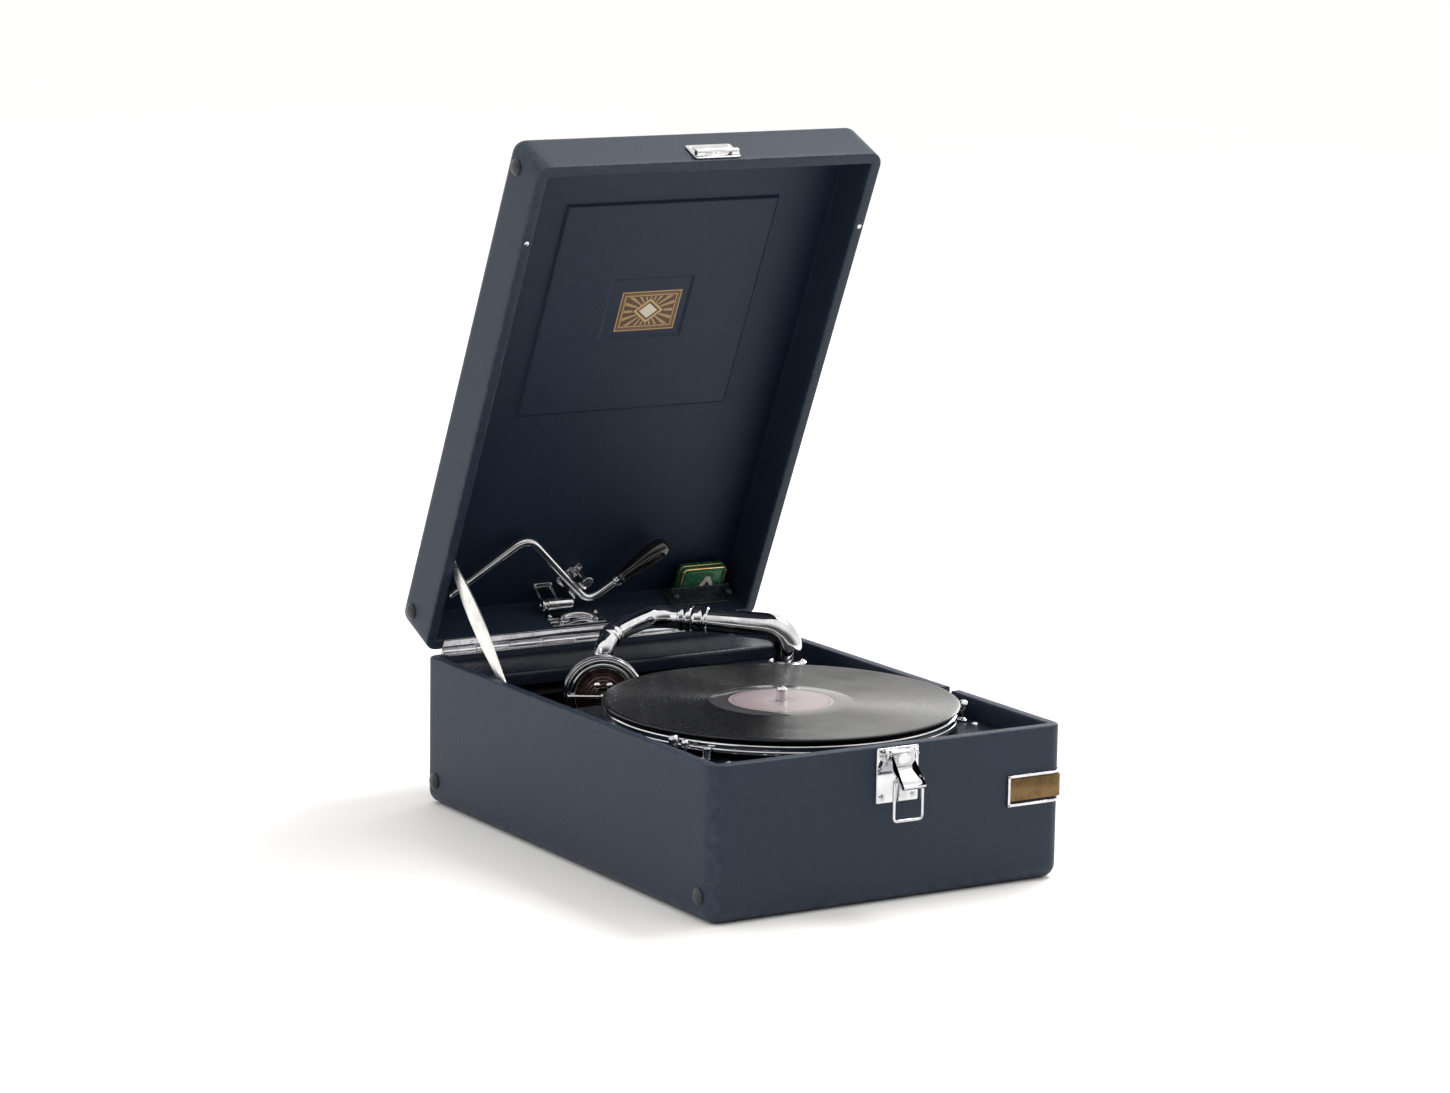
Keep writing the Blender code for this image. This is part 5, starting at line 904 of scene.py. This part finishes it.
speed_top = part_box("speed_regulator")[1][2]
piece("speed_ball", [ball_post(0.1245, -0.108, speed_top - 3.9 * MM, 2 * MM, 3.9 * MM, BOARD_TOP + 0.3 * MM)], CHROME,
    "regulator", ["speed_regulator"])
pad = CENTRE[:2] + 0.1293 * np.array([math.cos(math.radians(215)), math.sin(math.radians(215))])
post_at = np.array([-0.1175, -0.1115])
heading = unit(pad - post_at)
strap = soften([post_at - heading * 4 * MM + s * 3 * MM * np.array([-heading[1], heading[0]]) for s in (1, -1)]
    + [pad + heading * 3 * MM + s * 3 * MM * np.array([-heading[1], heading[0]]) for s in (-1, 1)], 2.4 * MM, 5,
    closed=True)
piece("brake_ball", [ball_post(*post_at, 107 * MM, 2 * MM, 3.9 * MM, BOARD_TOP + 2 * MM), ball_post(-0.1125, -0.1185,
    105.5 * MM, 1.3 * MM, 3.0 * MM, BOARD_TOP + 2 * MM), slab(strap, BOARD_TOP + 0.3 * MM, BOARD_TOP + 2 * MM,
    0.3 * MM), slab(block(4 * MM, 3 * MM, 1.5 * MM, (-0.1125, -0.1175)), BOARD_TOP + 0.4 * MM, BOARD_TOP + 2.2 * MM,
    0.3 * MM), rod(3.2 * MM, BOARD_TOP + MM, BOARD_TOP + 9 * MM, (*pad, 0), (0, 0, 1), 24, 0.8 * MM)], CHROME,
    "brake", ["brake_lever"])

# %% [markdown]
# The tone arm is a tapering tube: up out of its collar, over a wide bend and down to a ringed joint. The gooseneck
# goes on from there in an S and drops behind the sound box. Both are tubes whose radius is read off against the
# distance along the path, so the beads and ferrules are part of the same surface.

# %% Tone arm
foot_low, foot_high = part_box("tonearm_base")
ARM = np.array([(foot_low[0] + foot_high[0]) / 2, (foot_low[1] + foot_high[1]) / 2, 0])
collar = soften(mm([(11.3, 0.3), (19, 0.3), (19, 1.5), (17.6, 2.3), (15.2, 2.7), (14.5, 4.2), (14.5, 6.4),
    (13.9, 6.9), (13.9, 7.5), (14.5, 8.0), (14.5, 11.2), (13.6, 12.3), (11.3, 12.3)]), 0.5 * MM, 4,
    closed=True) + (0, BOARD_TOP)
parts = [lathe(collar, ARM, segments=64, bored=True)]
parts += [screw_head(ARM + (16.9 * MM * math.cos(q), 16.9 * MM * math.sin(q), BOARD_TOP + 2.0 * MM), (0, 0, 1),
    1.5 * MM, q) for q in (0.4, 2.5, 4.6)]
piece("arm_collar", parts, CHROME, "case", ["tonearm_base"])
JOINT = np.array([41, 127, 135]) * MM


def evened(path, step=0.9 * MM):
    """The same path with points at even distances."""
    at = np.concatenate([[0], np.cumsum(np.linalg.norm(np.diff(path, axis=0), axis=1))])
    where = np.linspace(0, at[-1], max(8, int(at[-1] / step)))
    return np.stack([np.interp(where, at, path[:, k]) for k in range(3)], 1), where, at[-1]


route, s, length = evened(soften([ARM + (0, 0, BOARD_TOP + 1.5 * MM), ARM + (0, 0, 131.5 * MM), JOINT], 27 * MM, 40))
thick = np.interp(length - s, np.array([0, 1.2, 1.6, 6.2, 6.6, 8.2, 8.6, 11.4, 11.8, 40, 70]) * MM,
    np.array([9.2, 9.8, 9.8, 9.8, 9.1, 9.1, 9.9, 9.9, 8.7, 9.6, 10.7]) * MM)
piece("arm_tube", [tube(route, thick, 48, up=(0.68, 0.73, 0.0))], CHROME, "arm", ["tonearm"], sharp=50)

# %% Gooseneck
BOX_AT, FACES = np.array([-56, 92, 93]) * MM, unit((-0.479, -0.878, 0))
plug = BOX_AT - FACES * 13.5 * MM
elbow = plug - FACES * 10.5 * MM
lead = unit(JOINT - (ARM + (0, 0, 131.5 * MM)))
knots = np.array([JOINT + lead * 0.6 * MM, JOINT + lead * 8 * MM,
    *(mm([(26, 141, 135.3), (12, 143.5, 135.6), (-2, 137.3, 135), (-18, 128.5, 133.6), (-34, 119.2, 130.6)])),
    elbow + np.array([1.2, -0.6, 30]) * MM, elbow + (0, 0, 20 * MM)])
route = np.concatenate([smooth_path(knots, 8), soften([elbow + (0, 0, 19 * MM), elbow, plug - FACES * 0.3 * MM],
    10 * MM, 16)])
route, s, length = evened(route, 0.8 * MM)
weights = np.hanning(19) / np.hanning(19).sum()
route = np.stack([np.convolve(np.pad(route[:, k], 9, mode="reflect", reflect_type="odd"), weights, "valid")
    for k in range(3)], 1)
ferrule, far = s[np.argmin(np.linalg.norm(route - knots[6], axis=1))] / MM, length / MM
marks_at = np.array([0, 1.0, 4.4, 4.8, 6.2, 6.6, 9.0, 9.4, ferrule - 4.2, ferrule - 3.9, ferrule - 1.4, ferrule - 1.1,
    ferrule + 1.1, ferrule + 1.4, ferrule + 3.9, ferrule + 4.2, far - 7, far - 6.6, far - 1, far])
marks_r = np.array([9.4, 10.0, 10.0, 9.2, 9.2, 9.9, 9.9, 8.7, 7.8, 8.4, 8.4, 7.8, 7.8, 8.4, 8.4, 7.3, 6.6, 7.6, 7.6,
    7.0])
piece("gooseneck_tube", [tube(route, np.interp(s, marks_at * MM, marks_r * MM), 48, up=(0.35, 0.45, 0.82))], CHROME,
    "neck", ["gooseneck"], sharp=50)

# %% [markdown]
# The sound box is a shallow cup with two bright rings round a dark diaphragm. Its diaphragm is a dome with
# ripples, h(r) = cone + 0.22 sin(2.6 r), and the needle's lever comes down over the rim from its middle.

# %% Sound box
shell = soften(mm([(3.2, -13.5), (8, -13.5), (8, -10), (9.4, -9), (20, -7.9), (20.6, -7.2), (26.5, -6.2),
    (28.5, -5.6), (29.5, -4.5), (29.5, -1.2), (28.8, -0.8), (28.8, -0.2), (29.5, 0.2), (29.5, 3.6), (28.9, 4.9),
    (28.0, 4.9), (27.5, 3.9), (27.0, 4.8), (26.0, 4.8), (25.5, 4.0), (25.4, -2.9), (3.2, -4.5)]), 0.45 * MM, 4,
    closed=True)
q = np.linspace(0, 2 * math.pi, 20, endpoint=False)
inner_ring = np.stack([22.4 + 2.4 * np.cos(q), 1.7 + 1.7 * np.sin(q)], 1) * MM
piece("sound_box_cup", [lathe(shell, BOX_AT, FACES, 128, bored=True),
    lathe(inner_ring, BOX_AT, FACES, 128, bored=True)], CHROME, "neck", ["sound_box_shell"])
r = np.linspace(0, 25.2, 60)
cone = np.interp(r, [0, 5, 14, 21, 25.2], [1.5, 1.0, -1.4, -1.2, -0.6]) + 0.22 * np.sin(r * 2.6) * (r > 5) * (r < 24)
sheet = np.concatenate([np.stack([r, cone], 1), [(25.2, -1.5), (0, -1.9)]]) * MM
piece("diaphragm_dish", [lathe(sheet, BOX_AT, FACES, 96)], WINE, "neck", ["diaphragm"], sharp=60)
down, across = np.array([0, 0, -1.0]), unit(np.cross(FACES, (0, 0, -1.0)))
pivot = BOX_AT + FACES * 7.4 * MM + down * 26.5 * MM
lever = smooth_path([BOX_AT + FACES * 2.2 * MM, BOX_AT + FACES * 6.2 * MM + down * 3 * MM, BOX_AT + FACES * 7.4 * MM
    + down * 10 * MM, pivot, pivot + down * 9 * MM], 8)
parts = [tube(lever, np.interp(np.linspace(0, 1, len(lever)), [0, 0.25, 0.5, 0.75, 0.8, 1],
    np.array([1.2, 1.4, 1.6, 2.2, 2.8, 2.7]) * MM), 24, up=tuple(across), ends=0.5)]
barrel = soften(mm([(0, -8), (2.3, -8), (2.3, -3), (1.8, -2.6), (1.8, 2.6), (2.3, 3), (2.3, 8), (0, 8)]), 0.4 * MM, 4)
parts.append(lathe(barrel, pivot, across, 28))
parts.append(tube(np.stack([BOX_AT + FACES * 5.4 * MM + across * w * MM for w in np.linspace(-25.2, 25.2, 9)]),
    1.5 * MM, 20, up=(0, 0, 1), ends=0.6))
ball = np.linspace(-math.pi / 2, math.pi / 2, 14)
for w, h in ((-4.6, 8.5), (4.6, 8.5), (0, 0)):
    parts.append(lathe(arc(ball, 3.1 * MM), BOX_AT + FACES * 5.2 * MM + across * w * MM - down * h * MM, FACES, 28))
    parts.append(rod(1.6 * MM, -4.4 * MM, 0, BOX_AT + FACES * 5.2 * MM + across * w * MM - down * h * MM, FACES, 16))
thumb_at = pivot + down * 6 * MM
ridge = 2.8 + 0.22 * np.cos(np.arange(48) * math.pi)
thumb_side, thumb_other = cross_axes(FACES)
q = np.linspace(0, 2 * math.pi, 48, endpoint=False)
knurl = np.stack([thumb_at + FACES * h * MM + (f * ridge * MM)[:, None] * (np.cos(q)[:, None] * thumb_side
    + np.sin(q)[:, None] * thumb_other) for h, f in ((6.8, 0.3), (6.9, 0.85), (7.3, 1.0), (11.2, 1.0), (11.7, 0.85),
    (11.9, 0.3))])
parts += [skin(knurl), tube(np.stack([thumb_at + FACES * h * MM for h in (0, 3, 6, 7.2)]), 1.2 * MM, 16, up=(0, 0, 1))]
piece("needle_lever", parts, CHROME, "neck", ["needle_bar"], sharp=50)

# %% [markdown]
# The crank lies in the lid, held by a sprung clip and a plated cradle. It is one rod with two bends and a turned
# black handle; bends are taken wide, as a rod would be bent round a former.

# %% Crank
DEPTH = rim_z + 22.5 * MM
tip, first, second, grip_from, grip_to = (np.array([x * MM, y * MM, DEPTH]) for x, y in ((-119, 172.6), (-63, 125),
    (4, 190.6), (27, 171.6), (59, 145)))
route, s, length = evened(soften([tip, first, second, grip_to], 13 * MM, 16), 1.2 * MM)
grip_s = length - np.linalg.norm(grip_to - grip_from)
thick = np.interp(s, [0, MM, 9 * MM, 9.4 * MM, grip_s - 5.2 * MM, grip_s - 4.8 * MM, grip_s - 0.6 * MM, grip_s,
    length], np.array([2.4, 3.0, 3.0, 3.4, 3.4, 4.9, 5.4, 2.3, 2.3]) * MM)
piece("crank_rod", [tube(route, thick, 32, up=(0, 0, 1), ends=0.4)], CHROME, "crank", ["crank"], sharp=50)
along = unit(grip_to - second)
span = np.linalg.norm(grip_to - grip_from) / MM
handle = soften(mm([(2.7, 0.2), (5.2, 0.2), (5.6, 1.2), (4.9, 3.0), (5.4, 8), (7.0, span * 0.45), (8.2, span * 0.74),
    (7.9, span * 0.9), (6.2, span + 1.6), (4.0, span + 3.2), (2.7, span + 3.2)]), 3 * MM, 6, closed=True)
piece("crank_handle", [lathe(handle, grip_from, along, 56, bored=True)], GRIP, "grip", ["crank_grip"],
    sharp=60)

# %% Clip and cradle
arm = unit(second - first)
seat = first + (second - first) * ((-11 * MM - first[0]) / (second[0] - first[0]))
beside = np.array([arm[1], -arm[0], 0])
up_z = np.array([0, 0, 1.0])
cheek = smooth_path([seat + beside * b * MM + up_z * h * MM for b, h in ((7.5, 13.3), (4.2, 12.6), (3.9, 6),
    (4.4, 1.5), (3.9, -1.8), (5.8, -4.6))], 6)
strip = [cheek, seat + (cheek - seat) - 2 * ((cheek - seat) @ beside)[:, None] * beside]
parts = []
for line in strip:
    normal = unit(np.cross(np.gradient(line, axis=0), arm))
    ring = np.stack([line + arm * 4.6 * MM + normal * 0.5 * MM, line - arm * 4.6 * MM + normal * 0.5 * MM,
        line - arm * 4.6 * MM - normal * 0.5 * MM, line + arm * 4.6 * MM - normal * 0.5 * MM], 1)
    parts.append(skin(ring))
parts.append(plate((6, 8, 2), (12.8, 13.9, 0.3), (0, 0), seat, arm, np.cross(up_z, arm)))
round_head = soften(mm([(0, -5.8), (4.5, -5.8), (4.5, -4.2), (3.2, -3.4), (1.8, -3.0), (1.8, 13.5), (0, 13.5)]),
    0.8 * MM, 5)
head_at = seat + beside * 10.2 * MM
parts.append(lathe(round_head, head_at, (0, 0, 1), 32))
parts.append(plate((5, 3.6, 1.2), (12.9, 13.8, 0.3), (0, 0), seat + beside * 9.5 * MM, beside, np.cross(up_z, beside)))
piece("crank_spring_clip", parts, CHROME, "lid", ["crank_clip"], sharp=50)
cradle_low = np.array([-39 * MM, 187.8 * MM, rim_z + 20 * MM])
roller = soften(mm([(0, -1.2), (1.6, -1.2), (2.2, 0), (5.2, 0.2), (5.2, 1.9), (3.4, 2.7), (3.2, 3.8), (3.4, 4.9),
    (4.4, 5.6), (4.4, 26.4), (3.2, 27.8), (0, 28.2)]), 0.6 * MM, 5)
parts = [lathe(roller, cradle_low, (1, 0, 0), 40)]
panel_z = CEILING - 0.7 * MM
for x in (-37.6 * MM, -24 * MM):
    legs = smooth_path([(x, 187.8 * MM, rim_z + 20 * MM), (x, 184.6 * MM, rim_z + 26 * MM),
        (x, 182 * MM, panel_z - MM), (x, 179.8 * MM, panel_z - 1.4 * MM)], 6)
    parts.append(tube(legs, 1.2 * MM, 14, up=(1, 0, 0), ends=0.5))
parts.append(slab(block(8.2 * MM, 3 * MM, 1.4 * MM, (-30.8 * MM, 181.8 * MM)), panel_z - 1.2 * MM, panel_z, 0.35 * MM))
piece("crank_roller_cradle", parts, CHROME, "lid", ["crank_cradle"], sharp=50)

# %% Wall plate behind the hinge
back_y = IN_Y - 0.3 * MM
parts = [plate((23.5, 8.3, 1.5), (0, 0.8, 0.25), (11.5 * MM, rim_z + 10.7 * MM), (0, back_y, 0), **FACING)]
parts = [(pts * (-1, 1, 1), f) for pts, f in parts]
arch_a = np.linspace(math.pi, 0, 20)
arch = np.stack([-11 * MM + 15 * MM * np.cos(arch_a), np.full(20, back_y - 1.4 * MM), rim_z + 5.2 * MM
    + 9.5 * MM * np.sin(arch_a)], 1)
parts.append(tube(arch, 1.7 * MM, 18, up=(0, 1, 0), ends=0.7))
parts += [screw_head((x * MM, back_y - 0.8 * MM, rim_z + 15.6 * MM), (0, -1, 0), 1.9 * MM, x) for x in (-31, 8.5)]
piece("lid_wall_plate_arch", parts, CHROME, "lid", ["lid_wall_plate"])

# %% [markdown]
# Needle tin: a green box with gilt seams on a small shelf, held by a cream clip bent to a V.

# %% Needle tin
tin_x, tin_y = (83 + 123.5) / 2 * MM, (168.8 + 194.2) / 2 * MM
half = (20.2 * MM, 12.7 * MM)
face_z, back_z = rim_z + 21.6 * MM, rim_z + 31 * MM
body = slab(block(half[0] - 0.5 * MM, half[1] - 0.5 * MM, 4 * MM, (tin_x, tin_y), 8), face_z + 0.5 * MM, back_z,
    1.2 * MM)
piece("needle_tin_box", [body, slab(block(half[0] - 3.5 * MM, half[1] - 3.5 * MM, 2.5 * MM, (tin_x, tin_y), 8),
    face_z - 0.3 * MM, face_z + 2 * MM, 0.7 * MM)], GREEN, "tin", ["needle_tin"])
seam = block(half[0] - 1.2 * MM, half[1] - 1.2 * MM, 4 * MM, (tin_x, tin_y), 9)
parts = []
for z, thickness in ((face_z + 0.7 * MM, 0.95 * MM), (face_z + 4.6 * MM, 0.5 * MM)):
    grown = seam if thickness > 0.8 * MM else block(half[0] - 0.4 * MM, half[1] - 0.4 * MM, 4 * MM, (tin_x, tin_y), 9)
    line = np.column_stack([grown, np.full(len(grown), z)])
    heading = unit(np.roll(line, -1, 0) - np.roll(line, 1, 0))
    outward = np.cross(heading, up_z)
    q = np.linspace(0, 2 * math.pi, 10, endpoint=False)
    parts.append(skin(line[:, None] + thickness * (np.cos(q)[None, :, None] * outward[:, None]
        + np.sin(q)[None, :, None] * up_z), along=True))
piece("needle_tin_gilt_seams", parts, GILT, "tin", ())
v_line = mm([(-9, 12.4), (-8.4, 13), (-1.2, -3.2), (0, -4.2), (1.2, -3.2), (8.4, 13), (9, 12.4)]) * (1, 0.82)
v_path = smooth_path(np.column_stack([v_line[:, 0] + tin_x + 3 * MM, v_line[:, 1] + tin_y,
    np.full(7, face_z - 1.1 * MM)]), 5)
turn_in = unit(np.cross(np.gradient(v_path, axis=0), up_z))
parts = [skin(np.stack([v_path + turn_in * a * MM + up_z * b * MM for a, b in ((-1.5, -0.35), (1.5, -0.35),
    (1.5, 0.35), (-1.5, 0.35))], 1))]
parts.append(lathe(soften(mm([(0, -0.9), (2.2, -0.9), (2.2, 0.3), (0, 0.3)]), 0.5 * MM, 4), (tin_x + 3 * MM,
    tin_y - 2.2 * MM, face_z - 1.1 * MM), (0, 0, 1), 20))
piece("needle_tin_clip", parts, CREAM, "tin", ())
parts = [slab(block(26.5 * MM, 5.8 * MM, 1.5 * MM, (101.5 * MM, 190.4 * MM)), rim_z + 19.8 * MM, rim_z + 21 * MM,
    0.35 * MM), plate((26.5, 12, 1.5), (0, 1.2, 0.35), (101.5 * MM, rim_z + 24 * MM), (0, back_y, 0), **FACING)]
knob = np.concatenate([[(0, -2.6 * MM), (1.4 * MM, -2.6 * MM), (1.4 * MM, 0)], arc(ball[3:], 2.9 * MM, (0, 2.2 * MM))])
parts += [lathe(knob, (x * MM, 189 * MM, rim_z + 17.6 * MM), (0, 0, -1), 24) for x in (78, 125)]
piece("needle_tin_shelf", parts, gloss("grey shelf enamel", (0.035, 0.042, 0.05), (0.07, 0.078, 0.085), (0.22, 0.4),
    Metallic=0.5), "lid", ["tin_holder"])

# %% [markdown]
# The stay is a long leaf of satin nickel: its half width is 3.2 + 5.2 sin(pi t^0.85)^1.3 millimetres along the
# strut, with a domed rivet at the lid and its foot behind a catch on the base's wall.

# %% Stay
stay_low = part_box("lid_stay")[0]
top = open_lid(np.array([[0, 130.6 * MM, rim_z + 5.8 * MM]]))[0]
foot = np.array([0, 98 * MM, 103.5 * MM])
t = np.linspace(0, 1, 40)
half = (3.2 + 5.2 * np.sin(math.pi * t ** 0.85) ** 1.3) * MM
strut = unit(foot - top)
wide = np.array([0, -strut[2], strut[1]])
middle = top + np.linalg.norm(foot - top) * t[:, None] * strut
edge_line = np.concatenate([(middle + wide * half[:, None])[:, 1:], (middle - wide * half[:, None])[::-1, 1:]])
parts = [slab(edge_line, stay_low[0], stay_low[0] + 1.5 * MM, 0.3 * MM, **SIDEWAYS)]
rivet = soften(mm([(0, 0), (2.9, 0), (2.9, 0.8), (1.6, 1.5), (0, 1.6)]), 0.4 * MM, 4)
parts += [lathe(rivet, (stay_low[0] + 1.4 * MM, top[1], top[2]), (1, 0, 0), 28), lathe(rivet * 0.8,
    (stay_low[0] + 1.4 * MM, foot[1], foot[2] + MM), (1, 0, 0), 28)]
piece("stay_leaf", parts, SATIN, "stay", ["lid_stay"])
(cx0, cy0, cz0), (cx1, cy1, cz1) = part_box("stay_catch")
parts = [slab(block((cx1 - cx0) / 2, (cy1 - cy0) / 2, 1.2 * MM, ((cx0 + cx1) / 2, (cy0 + cy1) / 2)), cz0,
    cz0 + 1.6 * MM, 0.35 * MM)]
hump = soften([(cy0, cz0 + 0.8 * MM), (cy0, cz1 - 3 * MM), (cy0 + 4 * MM, cz1), (cy1 - 4 * MM, cz1),
    (cy1, cz1 - 3 * MM), (cy1, cz0 + 0.8 * MM)], 2.5 * MM, 5, closed=True)
parts.append(slab(hump, cx1 - 1.6 * MM, cx1, 0.35 * MM, **SIDEWAYS))
piece("stay_foot_catch", parts, CHROME, "case", ["stay_catch"])

# %% [markdown]
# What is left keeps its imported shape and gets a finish: the board, the horn under it, and the motor that shows
# only when the case is looked at from inside. A CAD node's mesh is never changed, only its material slots.

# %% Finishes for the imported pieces
kept = ((DECK, ["motor_board"]), (HORN, ["horn", "horn_throat"]), (CHROME, ["spindle"]),
        (STEEL, ["needle", "mainspring", "motor_top_plate", "motor_bottom_plate", "barrel_arbor", "barrel_cover",
                 "winding_shaft", "governor_shaft"]),
        (BRASS, ["governor_weights", "governor_disc", "spring_barrel", "intermediate_gear"]))
for finish, names in kept:
    for name in names:
        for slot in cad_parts[name].material_slots:
            slot.material = finish
print("kept", sum(len(names) for _, names in kept), "packed pieces")

# %% [markdown]
# The stage: a wide pale floor under a white sky that is darker behind the viewer, so that plated pieces have
# something to mirror. A broad soft light is high on the right, one low behind on the right rakes the record, and
# a weak one is on the left. The camera stands about three metres off, so that lines stay nearly parallel.

# %% Floor
floor_steps = np.concatenate([[0.0], np.geomspace(0.3, 30, 24)])
floor_turn = np.linspace(0, 2 * math.pi, 96, endpoint=False)
floor_points = np.stack([floor_steps[:, None] * np.cos(floor_turn), floor_steps[:, None] * np.sin(floor_turn),
    np.full((25, 96), -0.3 * MM)], -1)
verts, faces = skin(floor_points, caps=False)
floor_mesh = bpy.data.meshes.new("pale_floor")
floor_mesh.from_pydata(verts, [], faces)
floor = add_object("pale_floor", floor_mesh)
PAPER, tree, shader, where = start("pale floor", Specular_IOR_Level=0.15)
tint = node(tree, "TexNoise", Vector=where, Scale=1.4, Detail=3.0).outputs[0]
connect(tree, shader, blend_colour(tree, tint, (0.93, 0.925, 0.92), (0.96, 0.957, 0.95)), between(tree, tint, 0.6, 0.8))
floor_mesh.materials.append(PAPER)

# %% Sky, lights and camera
bpy.context.scene.view_settings.view_transform = "Standard"
world = bpy.data.worlds.new("white studio")
bpy.context.scene.world = world
world.use_nodes = True
air = world.node_tree
sky = air.nodes["Background"]
sky.inputs["Color"].default_value = (1.0, 0.99, 0.975, 1)
looking = air.nodes.new("ShaderNodeTexCoord").outputs["Generated"]
height = node(air, "SeparateXYZ", Vector=looking).outputs["Z"]
towards_front = node(air, "VectorMath", {"operation": "DOT_PRODUCT"}, i0=looking,
    i1=(-0.518, -0.855, 0)).outputs["Value"]
level = maths(air, "SUBTRACT", maths(air, "ADD", height, 0.62), maths(air, "MULTIPLY", towards_front, 0.85))
glow = node(air, "MapRange", {"interpolation_type": "SMOOTHSTEP"}, i0=level, i1=0.1, i2=0.8, i3=0.1, i4=1.16).outputs[0]
air.links.new(glow, sky.inputs["Strength"])


def soft_light(name, at, aim, size, watts):
    lamp = bpy.data.lights.new(name, "AREA")
    lamp.shape, lamp.size, lamp.size_y, lamp.energy = "RECTANGLE", size[0], size[1], watts
    made = add_object(name, lamp)
    towards = unit(np.array(at, float) - np.array(aim, float))
    side = unit(np.cross((0, 0, 1.0), towards))
    made.matrix_world = Matrix([(*row, place) for row, place in zip(np.stack([side, np.cross(towards, side), towards],
        1), at)] + [(0, 0, 0, 1)])


soft_light("broad light", (1.5, 0.1, 2.6), (0, 0, 0.15), (1.1, 0.9), 44)
soft_light("side light", (2.5, 1.75, 0.75), (0, -0.05, 0.12), (1.3, 0.8), 20)
soft_light("left light", (-2.6, -0.9, 0.9), (0, 0, 0.1), (1.2, 1.2), 5)

SENSOR, FOCAL_RATIO = 36.0, 3.08602
SHIFT = (0.0228241, 0.02764)
STANDS = (-0.0292408, 0.181311, 3.232497)  # along its own right, up and back
azimuth, elevation, roll = math.radians(-31.196), math.radians(10.818), math.radians(0.826)
back = np.array([math.sin(azimuth) * math.cos(elevation), -math.cos(azimuth) * math.cos(elevation),
    math.sin(elevation)])
right = unit(np.cross((0, 0, 1.0), back))
up = np.cross(back, right)
right, up = math.cos(roll) * right + math.sin(roll) * up, math.cos(roll) * up - math.sin(roll) * right
lens = bpy.data.cameras.new("camera")
lens.sensor_width, lens.lens = SENSOR, SENSOR * FOCAL_RATIO
lens.shift_x, lens.shift_y = SHIFT
lens.clip_start, lens.clip_end = 0.05, 100.0
camera = add_object("camera", lens)
place = STANDS[0] * right + STANDS[1] * up + STANDS[2] * back
camera.matrix_world = Matrix([(*row, p) for row, p in zip(np.stack([right, up, back], 1), place)] + [(0, 0, 0, 1)])
bpy.context.scene.camera = camera
print("camera", place)
